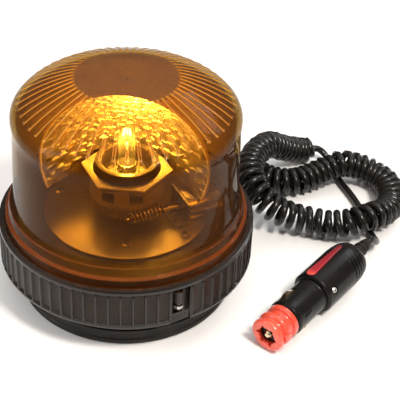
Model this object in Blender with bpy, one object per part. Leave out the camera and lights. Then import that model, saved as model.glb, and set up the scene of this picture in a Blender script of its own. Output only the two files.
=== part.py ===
"""Rotating hazard beacon: magnetic foot, amber dome, turning reflector, curly lead and 12 V plug.

The origin is the centre of the beacon's underside, +Z is up and -Y is the front.
Lengths are in millimetres, angles in degrees. The helpers turn millimetres into Blender's metres.
"""
from math import atan2, ceil, cos, pi, radians, sin, tan

import bmesh
import bpy
from mathutils import Matrix, Vector

MM = 0.001
GAP = 0.3                    # clearance that touching pieces keep
SCREW_SIDES = 10
ROUND_SIDES = 36             # large round pieces
SMALL_SIDES = 18             # small round pieces

# Foot
BOOT_RADIUS = 60.0
BOOT_TOP = 9.6
BOOT_FLOOR = 1.5
BOOT_WALL = 2.6
MAGNET_INNER = 24.0
PLATE_BOTTOM = 8.1
PLATE_TOP = 9.6
BOLT_RADIUS = 2.8
BOLT_HOLE = 3.2

# Base housing, deck and the ring that clamps the dome
HOUSING_BOTTOM = 10.3
FLOOR_TOP = 12.5
DRUM_OUTER = 60.0
DRUM_INNER = 57.5
HOUSING_OUTER = 66.3
HOUSING_INNER = 63.5
HOUSING_TOP = 40.0
DECK_LEDGE = 29.7
DECK_RADIUS = 62.4
DECK_BOTTOM = 43.5
DECK_TOP = 46.0
DECK_BORE = 12.0
RING_OUTER = 70.4
RING_INNER = 68.2
RING_LIP_INNER = 66.7
RING_BOTTOM = 20.5
RING_TOP = 45.0
NOTCH_WIDTH = 11.5
NOTCH_TOP = 42.0
LOCK_AZIMUTH = -66.7
LOCK_RADIUS = 67.4           # distance of the lock screw from the beacon's axis

# Dome, outer surface from the top down
DOME_TOP = 129.8
DOME_FLAT = 27.7
DOME_CROWN_EDGE = (56.2, 115.0)
DOME_SHOULDER = (59.9, 103.2)
DOME_SKIRT = (61.5, 56.3)
DOME_BOTTOM = 42.0
DOME_FLANGE = 67.8
DOME_WALL = 2.4

# Chassis plate
CHASSIS_RADIUS = 45.6
CHASSIS_BOTTOM = 46.3
CHASSIS_TOP = 47.3
PLATE_SCREWS = {
    "plate_screw_front": (0.0, -34.2),
    "plate_screw_right": (31.7, -26.3),
    "plate_screw_left": (-37.2, 13.5),
}

# Lamp column
POST_RADIUS = 7.0
POST_BORE = 4.5
POST_BOTTOM = CHASSIS_TOP + GAP
POST_FLANGE = 11.0
HOLDER_RADIUS = 17.2
HOLDER_BOTTOM = 66.3
HOLDER_RECESS = 71.0
HOLDER_TOP = 79.0
HOLDER_BORE = 5.4
CLIP_PIVOT_Y = -10.8
CLIP_Z = 73.5

# Rotor
ROTOR_TURN = -8.0           # where the reflector faces at rest, from the front towards -X
GEAR_TEETH = 48
GEAR_PITCH = 2.2
GEAR_BOTTOM = 50.6
GEAR_TOP = 58.6
GEAR_BORE = 7.4
GEAR_TIP = 17.4
GEAR_ROOT = 15.9
TOOTH_TIP_HALF = 0.28
TOOTH_ROOT_HALF = 0.58
DRUM_RADIUS = 20.0
ROTOR_DRUM_BOTTOM = 58.9
ROTOR_DRUM_TOP = 72.7
CARRIER_RADIUS = 25.0
CARRIER_BOTTOM = 73.0
CARRIER_TOP = 74.2
CARRIER_HOLE = 18.3
DISH_FOCUS = 17.5
DISH_VERTEX = 18.6
DISH_RIM = 45.0
DISH_CENTRE = 80.0
DISH_WALL = 1.2
DISH_FOOT = 74.5
DISH_WING_FOOT = 63.0
DISH_WING_ROOT = 66.0

# Worm and motor: an axis that leans over the plate, square to the rotor's axis
WORM_AZIMUTH = 23.5
WORM_OFFSET = 20.0
WORM_Z = 54.8
WORM_PITCH_RADIUS = 3.2
WORM_ROOT = 2.4
WORM_TIP = 3.8
WORM_START = -7.5
WORM_END = 12.0
SHAFT_RADIUS = 1.1
SHAFT_START = -9.0
SHAFT_END = 28.0
BRACKET_START = 22.4
BRACKET_END = 23.6
MOTOR_START = 24.2
MOTOR_END = 44.0
MOTOR_WIDTH = 20.0
MOTOR_HEIGHT = 14.4
MOTOR_LEAD_HOLE = (42.5, 29.5)

# Lead
WIRE_RADIUS = 2.2
CURL_RADIUS = 9.0
GLAND_AZIMUTH = 55.0
GLAND_Z = 16.2
LEAD_IN_ROUTE = [
    (45.1, 64.4, 16.1), (47.6, 68.0, 15.7), (51.0, 72.6, 13.6), (54.3, 76.6, 11.0), (56.7, 80.4, 9.4),
]
CURLY_ROUTE = [
    (57.0, 81.0, 9.3), (60.5, 88.5, 9.3), (67.0, 93.0, 9.3), (75.0, 92.5, 9.3), (82.0, 87.5, 9.3),
    (88.5, 81.5, 9.3), (97.0, 77.5, 9.3), (107.0, 77.5, 9.4), (117.0, 82.0, 9.5), (127.0, 87.0, 11.5),
    (138.0, 89.5, 14.6), (149.0, 89.5, 12.2), (158.5, 85.5, 9.5), (164.5, 77.0, 9.3), (166.0, 65.0, 9.3),
    (163.0, 52.0, 9.3), (156.0, 41.0, 12.0), (146.0, 33.0, 14.8), (135.0, 29.5, 13.2), (123.0, 31.5, 10.0),
    (111.0, 35.5, 9.5), (100.0, 37.5, 11.5), (89.0, 38.5, 16.5), (80.0, 42.5, 23.5), (75.5, 51.0, 28.2),
    (75.3, 62.0, 29.6), (78.0, 73.5, 29.8), (83.5, 85.0, 28.6), (91.0, 95.0, 25.5), (101.5, 105.5, 16.0),
    (113.5, 112.5, 9.5), (123.0, 114.5, 9.3),
]
TAIL_ROUTE = [
    (124.2, 114.8, 9.3), (127.8, 115.2, 8.2), (131.8, 112.6, 5.2), (134.8, 105.6, 2.8), (136.2, 96.5, 2.4),
    (138.4, 85.5, 2.4), (142.2, 73.2, 2.4), (145.3, 60.5, 2.4), (146.0, 48.0, 2.4), (147.3, 36.0, 2.4),
    (148.8, 27.0, 3.2), (148.3, 18.5, 7.2), (145.2, 12.2, 12.2), (142.2, 9.2, 14.9), (140.6, 7.5, 15.3),
]

# Plug: w runs along its axis from the red front face to the lead
PLUG_FACE = (73.45, -65.77, 10.45)
PLUG_AZIMUTH = 47.56
PLUG_TILT = 2.9
ADAPTER_RADIUS = 10.4
ADAPTER_BORE = 6.2
ADAPTER_LIP = 5.2
ADAPTER_END = 16.2
NOSE_START = 16.5
NOSE_END = 41.7
TIP_RADIUS = 5.9
TIP_START = 3.0
TIP_BORE = 2.6
SLOT_START = 19.4            # the side contacts' slots
SLOT_END = 32.0
GRIP_RADIUS = 12.5
GRIP_START = 42.0
GRIP_END = 83.0
RELIEF_END = 98.6
SIDE_CONTACTS = {"side_contact_left": -31.0, "side_contact_right": 149.0}
LENS_ANGLE = -17.0
LENS_FRONT = 45.8
LENS_REAR = 73.0
PLUG_SCREW_ANGLE = 64.0
PLUG_SCREW_W = 48.0

# colour, roughness, metallic
FINISHES = {
    "amber": ((0.72, 0.26, 0.03), 0.10, 0.0),
    "black_plastic": ((0.022, 0.018, 0.016), 0.35, 0.0),
    "black_rubber": ((0.015, 0.014, 0.013), 0.60, 0.0),
    "chrome": ((0.78, 0.77, 0.74), 0.10, 1.0),
    "steel": ((0.55, 0.54, 0.52), 0.30, 1.0),
    "magnet": ((0.10, 0.10, 0.11), 0.55, 0.6),
    "brass": ((0.78, 0.57, 0.25), 0.25, 1.0),
    "nylon": ((0.70, 0.67, 0.58), 0.45, 0.0),
    "glass": ((0.90, 0.92, 0.92), 0.05, 0.0),
    "red_plastic": ((0.72, 0.06, 0.04), 0.30, 0.0),
    "lead_cover": ((0.012, 0.011, 0.011), 0.40, 0.0),
}


# ---------------------------------------------------------------- helpers

def clear_scene():
    for item in list(bpy.data.objects):
        bpy.data.objects.remove(item)


def finish_for(name, finish):
    colour, roughness, metallic = FINISHES[finish]
    material = bpy.data.materials.new(name + "_" + finish)
    material.use_nodes = True
    shader = material.node_tree.nodes["Principled BSDF"]
    shader.inputs["Base Color"].default_value = (*colour, 1.0)
    shader.inputs["Roughness"].default_value = roughness
    shader.inputs["Metallic"].default_value = metallic
    return material


def mesh_from(bm, name):
    bmesh.ops.recalc_face_normals(bm, faces=bm.faces)
    mesh = bpy.data.meshes.new(name)
    bm.to_mesh(mesh)
    bm.free()
    return mesh


def add_piece(name, mesh, finish, parent=None, smooth=True):
    mesh.materials.append(finish_for(name, finish))
    if smooth:
        mesh.shade_smooth()
        mesh.set_sharp_from_angle(angle=radians(35))
    piece = bpy.data.objects.new(name, mesh)
    bpy.context.collection.objects.link(piece)
    piece.parent = parent
    return piece


def add_axis(name, origin, matrix):
    """An empty whose local frame carries pieces that share one axis."""
    axis = bpy.data.objects.new(name, None)
    bpy.context.collection.objects.link(axis)
    axis.matrix_world = Matrix.Translation(Vector(origin) * MM) @ matrix.to_4x4()
    return axis


def operand(piece, mesh, operation):
    """Fuses a hidden mesh with a piece, or cuts the piece with it."""
    guide = bpy.data.objects.new(piece.name + "_guide", mesh)
    bpy.context.collection.objects.link(guide)
    guide.parent = piece.parent
    guide.hide_render = True
    guide.display_type = "WIRE"
    modifier = piece.modifiers.new(operation.title(), "BOOLEAN")
    modifier.operation = operation
    modifier.object = guide


def cut(piece, mesh):
    operand(piece, mesh, "DIFFERENCE")


def fuse(piece, mesh):
    operand(piece, mesh, "UNION")


def turned(profile, sides=SMALL_SIDES):
    """Solid of revolution about +Z of an outline of (radius, height) points, counter-clockwise."""
    bm = bmesh.new()
    rings = []
    for radius, height in profile:
        count = sides if radius > 0 else 1
        angles = [2 * pi * step / sides for step in range(count)]
        rings.append([bm.verts.new(Vector((radius * cos(a), radius * sin(a), height)) * MM) for a in angles])
    for lower, upper in zip(rings, rings[1:] + rings[:1]):
        for step in range(sides):
            after = (step + 1) % sides
            corners = [lower[step % len(lower)], lower[after % len(lower)],
                       upper[after % len(upper)], upper[step % len(upper)]]
            corners = list(dict.fromkeys(corners))
            if len(corners) > 2:
                bm.faces.new(corners)
    return mesh_from(bm, "turned")


def prism(outline, low, high, twist=0.0):
    """Extrudes an outline of (x, y) points from low to high, turning the top by twist about +Z."""
    bm = bmesh.new()
    bottom = [bm.verts.new(Vector((x, y, low)) * MM) for x, y in outline]
    turn = Matrix.Rotation(radians(twist), 3, "Z")
    top = [bm.verts.new(turn @ Vector((x, y, high)) * MM) for x, y in outline]
    bm.faces.new(bottom)
    bm.faces.new(top)
    count = len(outline)
    for step in range(count):
        after = (step + 1) % count
        bm.faces.new([bottom[step], bottom[after], top[after], top[step]])
    return mesh_from(bm, "prism")


def block(low, high, matrix=None):
    """Box between two corners, optionally carried by a matrix whose offset is in millimetres."""
    corners = [(low[0], low[1]), (high[0], low[1]), (high[0], high[1]), (low[0], high[1])]
    mesh = prism(corners, low[2], high[2])
    return carried(mesh, matrix) if matrix else mesh


def carried(mesh, matrix):
    """Moves a mesh by a matrix whose offset is in millimetres."""
    scaled = matrix.to_4x4()
    scaled.translation = scaled.translation * MM
    mesh.transform(scaled)
    return mesh


def rod(radius, low, high, matrix=None, sides=SMALL_SIDES):
    mesh = turned([(0, low), (radius, low), (radius, high), (0, high)], sides)
    return carried(mesh, matrix) if matrix else mesh


def at(x, y, z=0.0, azimuth=0.0):
    return Matrix.Translation((x, y, z)) @ Matrix.Rotation(radians(azimuth), 4, "Z")


def polar(radius, azimuth):
    return radius * cos(radians(azimuth)), radius * sin(radians(azimuth))


def arc(centre, radius, start, end, steps):
    """Points on a circle in a plane, from one angle to another."""
    angles = [radians(start + (end - start) * step / steps) for step in range(steps + 1)]
    return [(centre[0] + radius * cos(a), centre[1] + radius * sin(a)) for a in angles]


def bulged(start, end, rise, steps):
    """Points from start to end on an arc that rises to the left of the chord."""
    chord = Vector(end) - Vector(start)
    normal = Vector((-chord.y, chord.x)).normalized()
    points = []
    for step in range(1, steps):
        t = step / steps
        points.append(tuple(Vector(start) + chord * t + normal * rise * 4 * t * (1 - t)))
    return points


def smooth_curve(route, spacing):
    """Evenly spaced points on a Catmull-Rom curve through a route."""
    points = [Vector(point) for point in route]
    points = [2 * points[0] - points[1]] + points + [2 * points[-1] - points[-2]]
    fine = []
    steps = 12
    for a, b, c, d in zip(points, points[1:], points[2:], points[3:]):
        for step in range(steps):
            t = step / steps
            fine.append(0.5 * (2 * b + (c - a) * t + (2 * a - 5 * b + 4 * c - d) * t ** 2
                               + (3 * b - a - 3 * c + d) * t ** 3))
    fine.append(points[-2])
    lengths = [0.0]
    for before, after in zip(fine, fine[1:]):
        lengths.append(lengths[-1] + (after - before).length)
    count = max(2, ceil(lengths[-1] / spacing))
    even = []
    place = 0
    for step in range(count + 1):
        wanted = lengths[-1] * step / count
        while place < len(fine) - 2 and lengths[place + 1] < wanted:
            place += 1
        share = (wanted - lengths[place]) / (lengths[place + 1] - lengths[place])
        even.append(fine[place].lerp(fine[place + 1], share))
    return even


def add_tube(name, points, radius, finish, parent=None, resolution=2):
    """Round bar along a row of points, as a curve with a bevel and closed ends."""
    curve = bpy.data.curves.new(name, "CURVE")
    curve.dimensions = "3D"
    curve.bevel_depth = radius * MM
    curve.bevel_resolution = resolution
    curve.use_fill_caps = True
    spline = curve.splines.new("POLY")
    spline.points.add(len(points) - 1)
    for point, place in zip(spline.points, points):
        point.co = (*(Vector(place) * MM), 1.0)
    spline.use_smooth = True
    curve.materials.append(finish_for(name, finish))
    tube = bpy.data.objects.new(name, curve)
    bpy.context.collection.objects.link(tube)
    tube.parent = parent
    return tube


def add_screw(name, matrix, head_radius, head_height, shank_radius, shank_length, finish="steel", parent=None):
    """Pan-head screw with a cross recess; its head rises along +Z from the matrix's origin."""
    profile = [
        (0, -shank_length), (shank_radius * 0.5, -shank_length), (shank_radius, -shank_length + shank_radius),
        (shank_radius, 0), (head_radius, 0), (head_radius, head_height * 0.55),
        (head_radius * 0.72, head_height), (0, head_height),
    ]
    screw = add_piece(name, carried(turned(profile, SCREW_SIDES), matrix), finish, parent)
    half_slot = head_radius * 0.14
    reach = head_radius * 0.5
    floor = head_height * 0.5
    cross = [
        (reach, -half_slot), (reach, half_slot), (half_slot, half_slot), (half_slot, reach),
        (-half_slot, reach), (-half_slot, half_slot), (-reach, half_slot), (-reach, -half_slot),
        (-half_slot, -half_slot), (-half_slot, -reach), (half_slot, -reach), (half_slot, -half_slot),
    ]
    cut(screw, carried(prism(cross, floor, head_height + 1.0), matrix))
    return screw


# ---------------------------------------------------------------- foot and base

def build_foot():
    inner = BOOT_RADIUS - BOOT_WALL
    boot = [(0, 0), (BOOT_RADIUS - 1, 0), (BOOT_RADIUS, 1), (BOOT_RADIUS, BOOT_TOP), (inner, BOOT_TOP),
            (inner, BOOT_FLOOR), (0, BOOT_FLOOR)]
    add_piece("rubber_boot", turned(boot, ROUND_SIDES), "black_rubber")
    magnet_outer = inner - 0.8
    low = BOOT_FLOOR + GAP
    high = PLATE_BOTTOM - GAP
    magnet = [(MAGNET_INNER, low), (magnet_outer, low), (magnet_outer, high), (MAGNET_INNER, high)]
    add_piece("ring_magnet", turned(magnet, ROUND_SIDES), "magnet")
    plate_edge = inner - 0.5
    plate = [(BOLT_HOLE, PLATE_BOTTOM), (plate_edge, PLATE_BOTTOM), (plate_edge, PLATE_TOP), (BOLT_HOLE, PLATE_TOP)]
    add_piece("steel_plate", turned(plate, ROUND_SIDES), "steel")
    flipped = Matrix.Translation((0, 0, PLATE_BOTTOM - GAP)) @ Matrix.Rotation(pi, 4, "X")
    add_screw("magnet_bolt", flipped, 5.0, 3.0, BOLT_RADIUS, 12.6)
    nut = add_piece("magnet_nut", prism(arc((0, 0), 5.8, 0, 300, 5), FLOOR_TOP + GAP, FLOOR_TOP + 5.0),
                    "steel", smooth=False)
    cut(nut, rod(BOLT_RADIUS + GAP, FLOOR_TOP - 1, FLOOR_TOP + 6))


def build_housing():
    profile = [
        (BOLT_HOLE, HOUSING_BOTTOM), (DRUM_OUTER, HOUSING_BOTTOM), (DRUM_OUTER, 20.0), (HOUSING_OUTER, 22.5),
        (HOUSING_OUTER, HOUSING_TOP), (HOUSING_INNER, HOUSING_TOP), (HOUSING_INNER, DECK_LEDGE),
        (DRUM_OUTER, DECK_LEDGE), (DRUM_OUTER, 24.5), (DRUM_INNER, 21.0), (DRUM_INNER, FLOOR_TOP),
        (BOLT_HOLE, FLOOR_TOP),
    ]
    housing = add_piece("base_housing", turned(profile, ROUND_SIDES), "black_plastic")
    lock = at(*polar(LOCK_RADIUS, LOCK_AZIMUTH))
    cut(housing, rod(3.1, 23.4, 31.2, lock))
    fuse(housing, rod(2.4, 32.0, 39.6, lock, SCREW_SIDES))
    cut(housing, rod(1.75, 30.0, 43.0, lock, SCREW_SIDES))
    cut(housing, rod(3.3, DRUM_INNER - 3, DRUM_OUTER + 3, gland_frame()))


def gland_frame():
    """Puts +Z of a turned shape along the gland's axis, pointing away from the beacon."""
    lift = Matrix.Translation((0, 0, GLAND_Z))
    return lift @ Matrix.Rotation(radians(GLAND_AZIMUTH), 4, "Z") @ Matrix.Rotation(pi / 2, 4, "Y")


def build_gland():
    profile = [
        (0, 54.6), (3.6, 54.6), (3.6, 56.7), (2.9, 56.7), (2.9, 60.5), (3.7, 60.5), (3.7, 62.6), (3.3, 63.4),
        (3.0, 70.0), (2.6, 78.0), (0, 78.0),
    ]
    add_piece("cable_gland", carried(turned(profile), gland_frame()), "black_rubber")


def build_deck():
    disc = [(DECK_BORE, DECK_BOTTOM), (DECK_RADIUS, DECK_BOTTOM), (DECK_RADIUS, DECK_TOP), (DECK_BORE, DECK_TOP)]
    deck = add_piece("base_deck", turned(disc, ROUND_SIDES), "black_plastic")
    skirt_inner = DECK_RADIUS - 2.1
    skirt_top = DECK_BOTTOM - 0.05
    skirt = [(skirt_inner, DECK_LEDGE + GAP), (DECK_RADIUS, DECK_LEDGE + GAP), (DECK_RADIUS, skirt_top),
             (skirt_inner, skirt_top)]
    add_piece("deck_skirt", turned(skirt, ROUND_SIDES), "black_plastic")
    chassis = [(5.2, CHASSIS_BOTTOM), (CHASSIS_RADIUS, CHASSIS_BOTTOM), (CHASSIS_RADIUS, CHASSIS_TOP),
               (5.2, CHASSIS_TOP)]
    plate = add_piece("chassis_plate", turned(chassis, ROUND_SIDES), "chrome")
    for name, (x, y) in PLATE_SCREWS.items():
        for drilled in (deck, plate):
            cut(drilled, rod(1.75, DECK_BOTTOM - 1, CHASSIS_TOP + 1, at(x, y), SCREW_SIDES))
        add_screw(name, at(x, y, CHASSIS_TOP + GAP), 2.6, 1.6, 1.3, 7.0)
    cut(plate, rod(1.8, CHASSIS_BOTTOM - 1, CHASSIS_TOP + 1, at(30.0, 13.0), SCREW_SIDES))
    cut(deck, rod(2.0, DECK_BOTTOM - 1, DECK_TOP + 1, at(*MOTOR_LEAD_HOLE), SCREW_SIDES))


def build_ring():
    profile = [
        (RING_INNER, RING_BOTTOM), (RING_OUTER, RING_BOTTOM), (RING_OUTER, RING_TOP), (RING_LIP_INNER, RING_TOP),
        (RING_LIP_INNER, RING_TOP - 0.7), (RING_INNER, RING_TOP - 0.7),
    ]
    ring = add_piece("retaining_ring", turned(profile, ROUND_SIDES), "black_plastic")
    half = NOTCH_WIDTH / 2
    notch = block((60, -half, RING_BOTTOM - 1), (75, half, NOTCH_TOP), at(0, 0, 0, LOCK_AZIMUTH))
    cut(ring, notch)
    lock = at(*polar(LOCK_RADIUS, LOCK_AZIMUTH), 30.6) @ Matrix.Rotation(pi, 4, "X")
    add_screw("lock_screw", lock, 2.7, 2.6, 1.35, 8.6)
    seal = [(63.2, 40.3), (66.1, 40.3), (66.1, 41.7), (63.2, 41.7)]
    add_piece("dome_seal", turned(seal, ROUND_SIDES), "black_rubber")


def dome_profile():
    """Outer surface from the flange up to the top, then the inner surface back down."""
    shoulder = bulged(DOME_SHOULDER, DOME_CROWN_EDGE, -2.0, 3)
    crown = bulged(DOME_CROWN_EDGE, (DOME_FLAT, DOME_TOP - 0.2), -1.2, 2)
    outer = [
        (62.9, DOME_BOTTOM), (DOME_FLANGE, DOME_BOTTOM), (DOME_FLANGE, 43.8), (66.3, 44.0), (66.2, 49.8),
        (64.6, 50.5), (63.8, 55.8), DOME_SKIRT, DOME_SHOULDER, *shoulder, DOME_CROWN_EDGE, *crown,
        (DOME_FLAT, DOME_TOP - 0.2), (26.5, DOME_TOP), (0, DOME_TOP),
    ]
    inner = [
        (0, DOME_TOP - DOME_WALL), (DOME_FLAT - 1, DOME_TOP - DOME_WALL), (DOME_CROWN_EDGE[0] - 2, 112.6),
        (DOME_SHOULDER[0] - 2.5, 102.8), (DOME_SKIRT[0] - 2.5, DOME_SKIRT[1]), (62.3, 49.5),
    ]
    return outer + inner


def build_dome():
    add_piece("amber_dome", turned(dome_profile(), ROUND_SIDES), "amber")


# ---------------------------------------------------------------- lamp

def build_lamp():
    post = [
        (POST_BORE, POST_BOTTOM), (POST_FLANGE, POST_BOTTOM), (POST_FLANGE, 49.2), (POST_RADIUS, 49.2),
        (POST_RADIUS, 66.0), (POST_BORE, 66.0),
    ]
    add_piece("lamp_post", turned(post), "steel")
    washer = [(GEAR_BORE, 49.5), (POST_FLANGE, 49.5), (POST_FLANGE, 50.3), (GEAR_BORE, 50.3)]
    add_piece("thrust_washer", turned(washer), "nylon")
    holder = [
        (HOLDER_BORE, HOLDER_BOTTOM), (HOLDER_RADIUS - 1, HOLDER_BOTTOM), (HOLDER_RADIUS, HOLDER_BOTTOM + 1),
        (HOLDER_RADIUS, HOLDER_TOP), (HOLDER_RADIUS - 3.4, HOLDER_TOP), (HOLDER_RADIUS - 3.4, HOLDER_RECESS),
        (HOLDER_BORE, HOLDER_RECESS),
    ]
    add_piece("lamp_holder", turned(holder, 26), "black_plastic")
    contact = [(0, 61.0), (3.6, 61.0), (3.6, 62.2), (1.6, 62.8), (1.6, 66.3), (0, 66.3)]
    add_piece("lamp_contact", turned(contact), "brass")
    base = [
        (0, 66.6), (4.6, 66.6), (4.6, 71.3), (10.5, 71.3), (10.5, 72.6), (5.2, 72.6), (5.2, 77.0), (0, 77.0),
    ]
    add_piece("bulb_base", turned(base), "steel")
    bulb = [(0, 77.3), (4.6, 77.3), (4.6, 94.0), (4.1, 96.4), (2.6, 98.4), (0, 99.0)]
    add_piece("bulb_glass", turned(bulb), "glass")
    build_clip()


def build_clip():
    """Spring wire: its cross bar is the pivot and its two legs hold the bulb's flange down."""
    half = 6.5
    reach = 20.0
    axis = add_axis("clip_axis", (0, CLIP_PIVOT_Y, CLIP_Z), Matrix.Identity(3))
    route = [(-half, reach, 0), (-half, 12, 0), (-half, 3, 0), (-half + 0.6, 0.6, 0), (-half + 2.5, 0, 0), (0, 0, 0),
             (half - 2.5, 0, 0), (half - 0.6, 0.6, 0), (half, 3, 0), (half, 12, 0), (half, reach, 0)]
    add_tube("bulb_clip", route, 0.5, "steel", axis)


# ---------------------------------------------------------------- rotor

def gear_outline():
    """Trapezoid teeth round the wheel; a gap faces the worm at its foot point."""
    points = []
    worm_side = WORM_AZIMUTH - 90
    step = 360 / GEAR_TEETH
    root_half = TOOTH_ROOT_HALF / GEAR_ROOT * 180 / pi
    tip_half = TOOTH_TIP_HALF / GEAR_TIP * 180 / pi
    for tooth in range(GEAR_TEETH):
        middle = worm_side + (tooth + 0.5) * step
        points.append(polar(GEAR_ROOT, middle - root_half))
        points.append(polar(GEAR_TIP, middle - tip_half))
        points.append(polar(GEAR_TIP, middle + tip_half))
        points.append(polar(GEAR_ROOT, middle + root_half))
    return points


def build_worm_wheel():
    lead_angle = atan2(GEAR_PITCH, 2 * pi * WORM_PITCH_RADIUS)
    pitch_radius = GEAR_TEETH * GEAR_PITCH / (2 * pi)
    twist_per_mm = tan(lead_angle) / pitch_radius * 180 / pi
    below = twist_per_mm * (WORM_Z - GEAR_BOTTOM)
    mesh = prism(gear_outline(), GEAR_BOTTOM, GEAR_TOP, twist_per_mm * (GEAR_TOP - GEAR_BOTTOM))
    mesh = carried(mesh, Matrix.Rotation(radians(-below), 4, "Z"))
    wheel = add_piece("worm_wheel", mesh, "nylon", smooth=False)
    cut(wheel, rod(GEAR_BORE, GEAR_BOTTOM - 1, GEAR_TOP + 1))


def build_drum():
    profile = [
        (8.2, ROTOR_DRUM_BOTTOM), (DRUM_RADIUS, ROTOR_DRUM_BOTTOM), (DRUM_RADIUS, ROTOR_DRUM_TOP),
        (DRUM_RADIUS - 1.8, ROTOR_DRUM_TOP), (DRUM_RADIUS - 1.8, ROTOR_DRUM_BOTTOM + 1.4),
        (8.2, ROTOR_DRUM_BOTTOM + 1.4),
    ]
    drum = add_piece("rotor_drum", turned(profile, 28), "nylon")
    turn = at(0, 0, 0, ROTOR_TURN)
    cut(drum, block((-11, -22, 62.6), (11, -10, 70.6), turn))
    carrier = add_piece("carrier_plate",
                        prism(arc((0, 0), CARRIER_RADIUS, ROTOR_TURN, ROTOR_TURN + 300, 5),
                              CARRIER_BOTTOM, CARRIER_TOP), "chrome", smooth=False)
    cut(carrier, rod(CARRIER_HOLE, CARRIER_BOTTOM - 1, CARRIER_TOP + 1, sides=28))
    return carrier


def dish_mesh():
    """Parabolic bowl that faces -Y, closed by a back surface one wall thickness behind it."""
    rings = 7
    sides = 32
    bm = bmesh.new()
    shells = []
    for offset in (0.0, DISH_WALL):
        shell = [[bm.verts.new(Vector((0, DISH_VERTEX + offset, DISH_CENTRE)) * MM)]]
        for ring in range(1, rings + 1):
            radius = DISH_RIM * ring / rings
            y = DISH_VERTEX + offset - radius ** 2 / (4 * DISH_FOCUS)
            angles = [2 * pi * step / sides for step in range(sides)]
            shell.append([bm.verts.new(Vector((radius * cos(a), y, DISH_CENTRE + radius * sin(a))) * MM)
                          for a in angles])
        shells.append(shell)
    outline = shells[0] + shells[1][::-1]
    for inner, outer in zip(outline, outline[1:]):
        for step in range(sides):
            after = (step + 1) % sides
            corners = [inner[step % len(inner)], inner[after % len(inner)],
                       outer[after % len(outer)], outer[step % len(outer)]]
            corners = list(dict.fromkeys(corners))
            if len(corners) > 2:
                bm.faces.new(corners)
    return mesh_from(bm, "dish")


def build_reflector(carrier):
    turn = at(0, 0, 0, ROTOR_TURN)
    reflector = add_piece("reflector", carried(dish_mesh(), turn), "chrome")
    below = [(-60, 20), (60, 20), (60, DISH_WING_FOOT - 4), (42, DISH_WING_FOOT), (21.5, DISH_WING_ROOT),
             (21.5, DISH_FOOT), (-21.5, DISH_FOOT), (-21.5, DISH_WING_ROOT), (-42, DISH_WING_FOOT),
             (-60, DISH_WING_FOOT - 4)]
    upright = turn @ Matrix.Rotation(pi / 2, 4, "X")
    cut(reflector, carried(prism(below, -40, 40), upright))
    for side, label in ((-1, "left"), (1, "right")):
        x = side * 10.5
        fuse(reflector, block((x - 2.4, 15.6, DISH_FOOT), (x + 2.4, 20.9, DISH_FOOT + 1.0), turn))
        seat = turn @ at(x, 19.3, DISH_FOOT + 1.0 + GAP)
        cut(reflector, carried(rod(1.1, -3, 3, sides=SCREW_SIDES), seat))
        cut(carrier, carried(rod(1.1, -6, 3, sides=SCREW_SIDES), seat))
        add_screw("reflector_screw_" + label, seat, 1.35, 1.0, 0.75, 4.4)


# ---------------------------------------------------------------- worm drive

def worm_frame():
    """+Z along the worm's axis, +X down, origin at its closest point to the rotor's axis."""
    foot = polar(WORM_OFFSET, WORM_AZIMUTH - 90)
    place = Matrix.Translation((foot[0], foot[1], WORM_Z))
    return place @ Matrix.Rotation(radians(WORM_AZIMUTH), 4, "Z") @ Matrix.Rotation(pi / 2, 4, "Y")


def motor_point(along, across, height=WORM_Z):
    """A point given along the worm's axis and across it, away from the front."""
    foot = polar(WORM_OFFSET, WORM_AZIMUTH - 90)
    ahead = polar(along, WORM_AZIMUTH)
    aside = polar(across, WORM_AZIMUTH + 90)
    return foot[0] + ahead[0] + aside[0], foot[1] + ahead[1] + aside[1], height


def thread_mesh():
    """Right-hand thread ridge; a crest faces the wheel at the foot point."""
    steps_per_turn = 6
    root = WORM_ROOT - 0.25
    section = [(root, -0.60), (WORM_TIP, -TOOTH_TIP_HALF), (WORM_TIP, TOOTH_TIP_HALF), (root, 0.60)]
    first = ceil((WORM_START + 1.0) / GEAR_PITCH * steps_per_turn)
    last = int((WORM_END - 1.0) / GEAR_PITCH * steps_per_turn)
    towards_wheel = pi / 2
    bm = bmesh.new()
    rows = []
    for step in range(first, last + 1):
        angle = towards_wheel + 2 * pi * step / steps_per_turn
        rise = GEAR_PITCH * step / steps_per_turn
        rows.append([bm.verts.new(Vector((r * cos(angle), r * sin(angle), rise + s)) * MM) for r, s in section])
    for before, after in zip(rows, rows[1:]):
        for corner in range(4):
            follow = (corner + 1) % 4
            bm.faces.new([before[corner], before[follow], after[follow], after[corner]])
    bm.faces.new(rows[0])
    bm.faces.new(rows[-1])
    return mesh_from(bm, "thread")


def build_worm():
    axis = add_axis("worm_axis", worm_frame().translation, worm_frame().to_3x3())
    bore = SHAFT_RADIUS + GAP
    core = [(bore, WORM_START), (WORM_ROOT, WORM_START), (WORM_ROOT, WORM_END), (bore, WORM_END)]
    worm = add_piece("worm", turned(core), "steel", axis)
    fuse(worm, thread_mesh())
    shaft = turned([(0, SHAFT_START), (SHAFT_RADIUS, SHAFT_START), (SHAFT_RADIUS, SHAFT_END), (0, SHAFT_END)], 12)
    add_piece("motor_shaft", shaft, "steel", axis)


def motor_outline(trim=0.0):
    """Can section in the worm's frame: x is down, y is across; the short ends are rounded."""
    half_height = MOTOR_HEIGHT / 2 - trim
    flat = MOTOR_WIDTH / 2 - MOTOR_HEIGHT / 2
    return (arc((0, flat), half_height, 0, 180, 8) + arc((0, -flat), half_height, 180, 360, 8))


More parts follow.
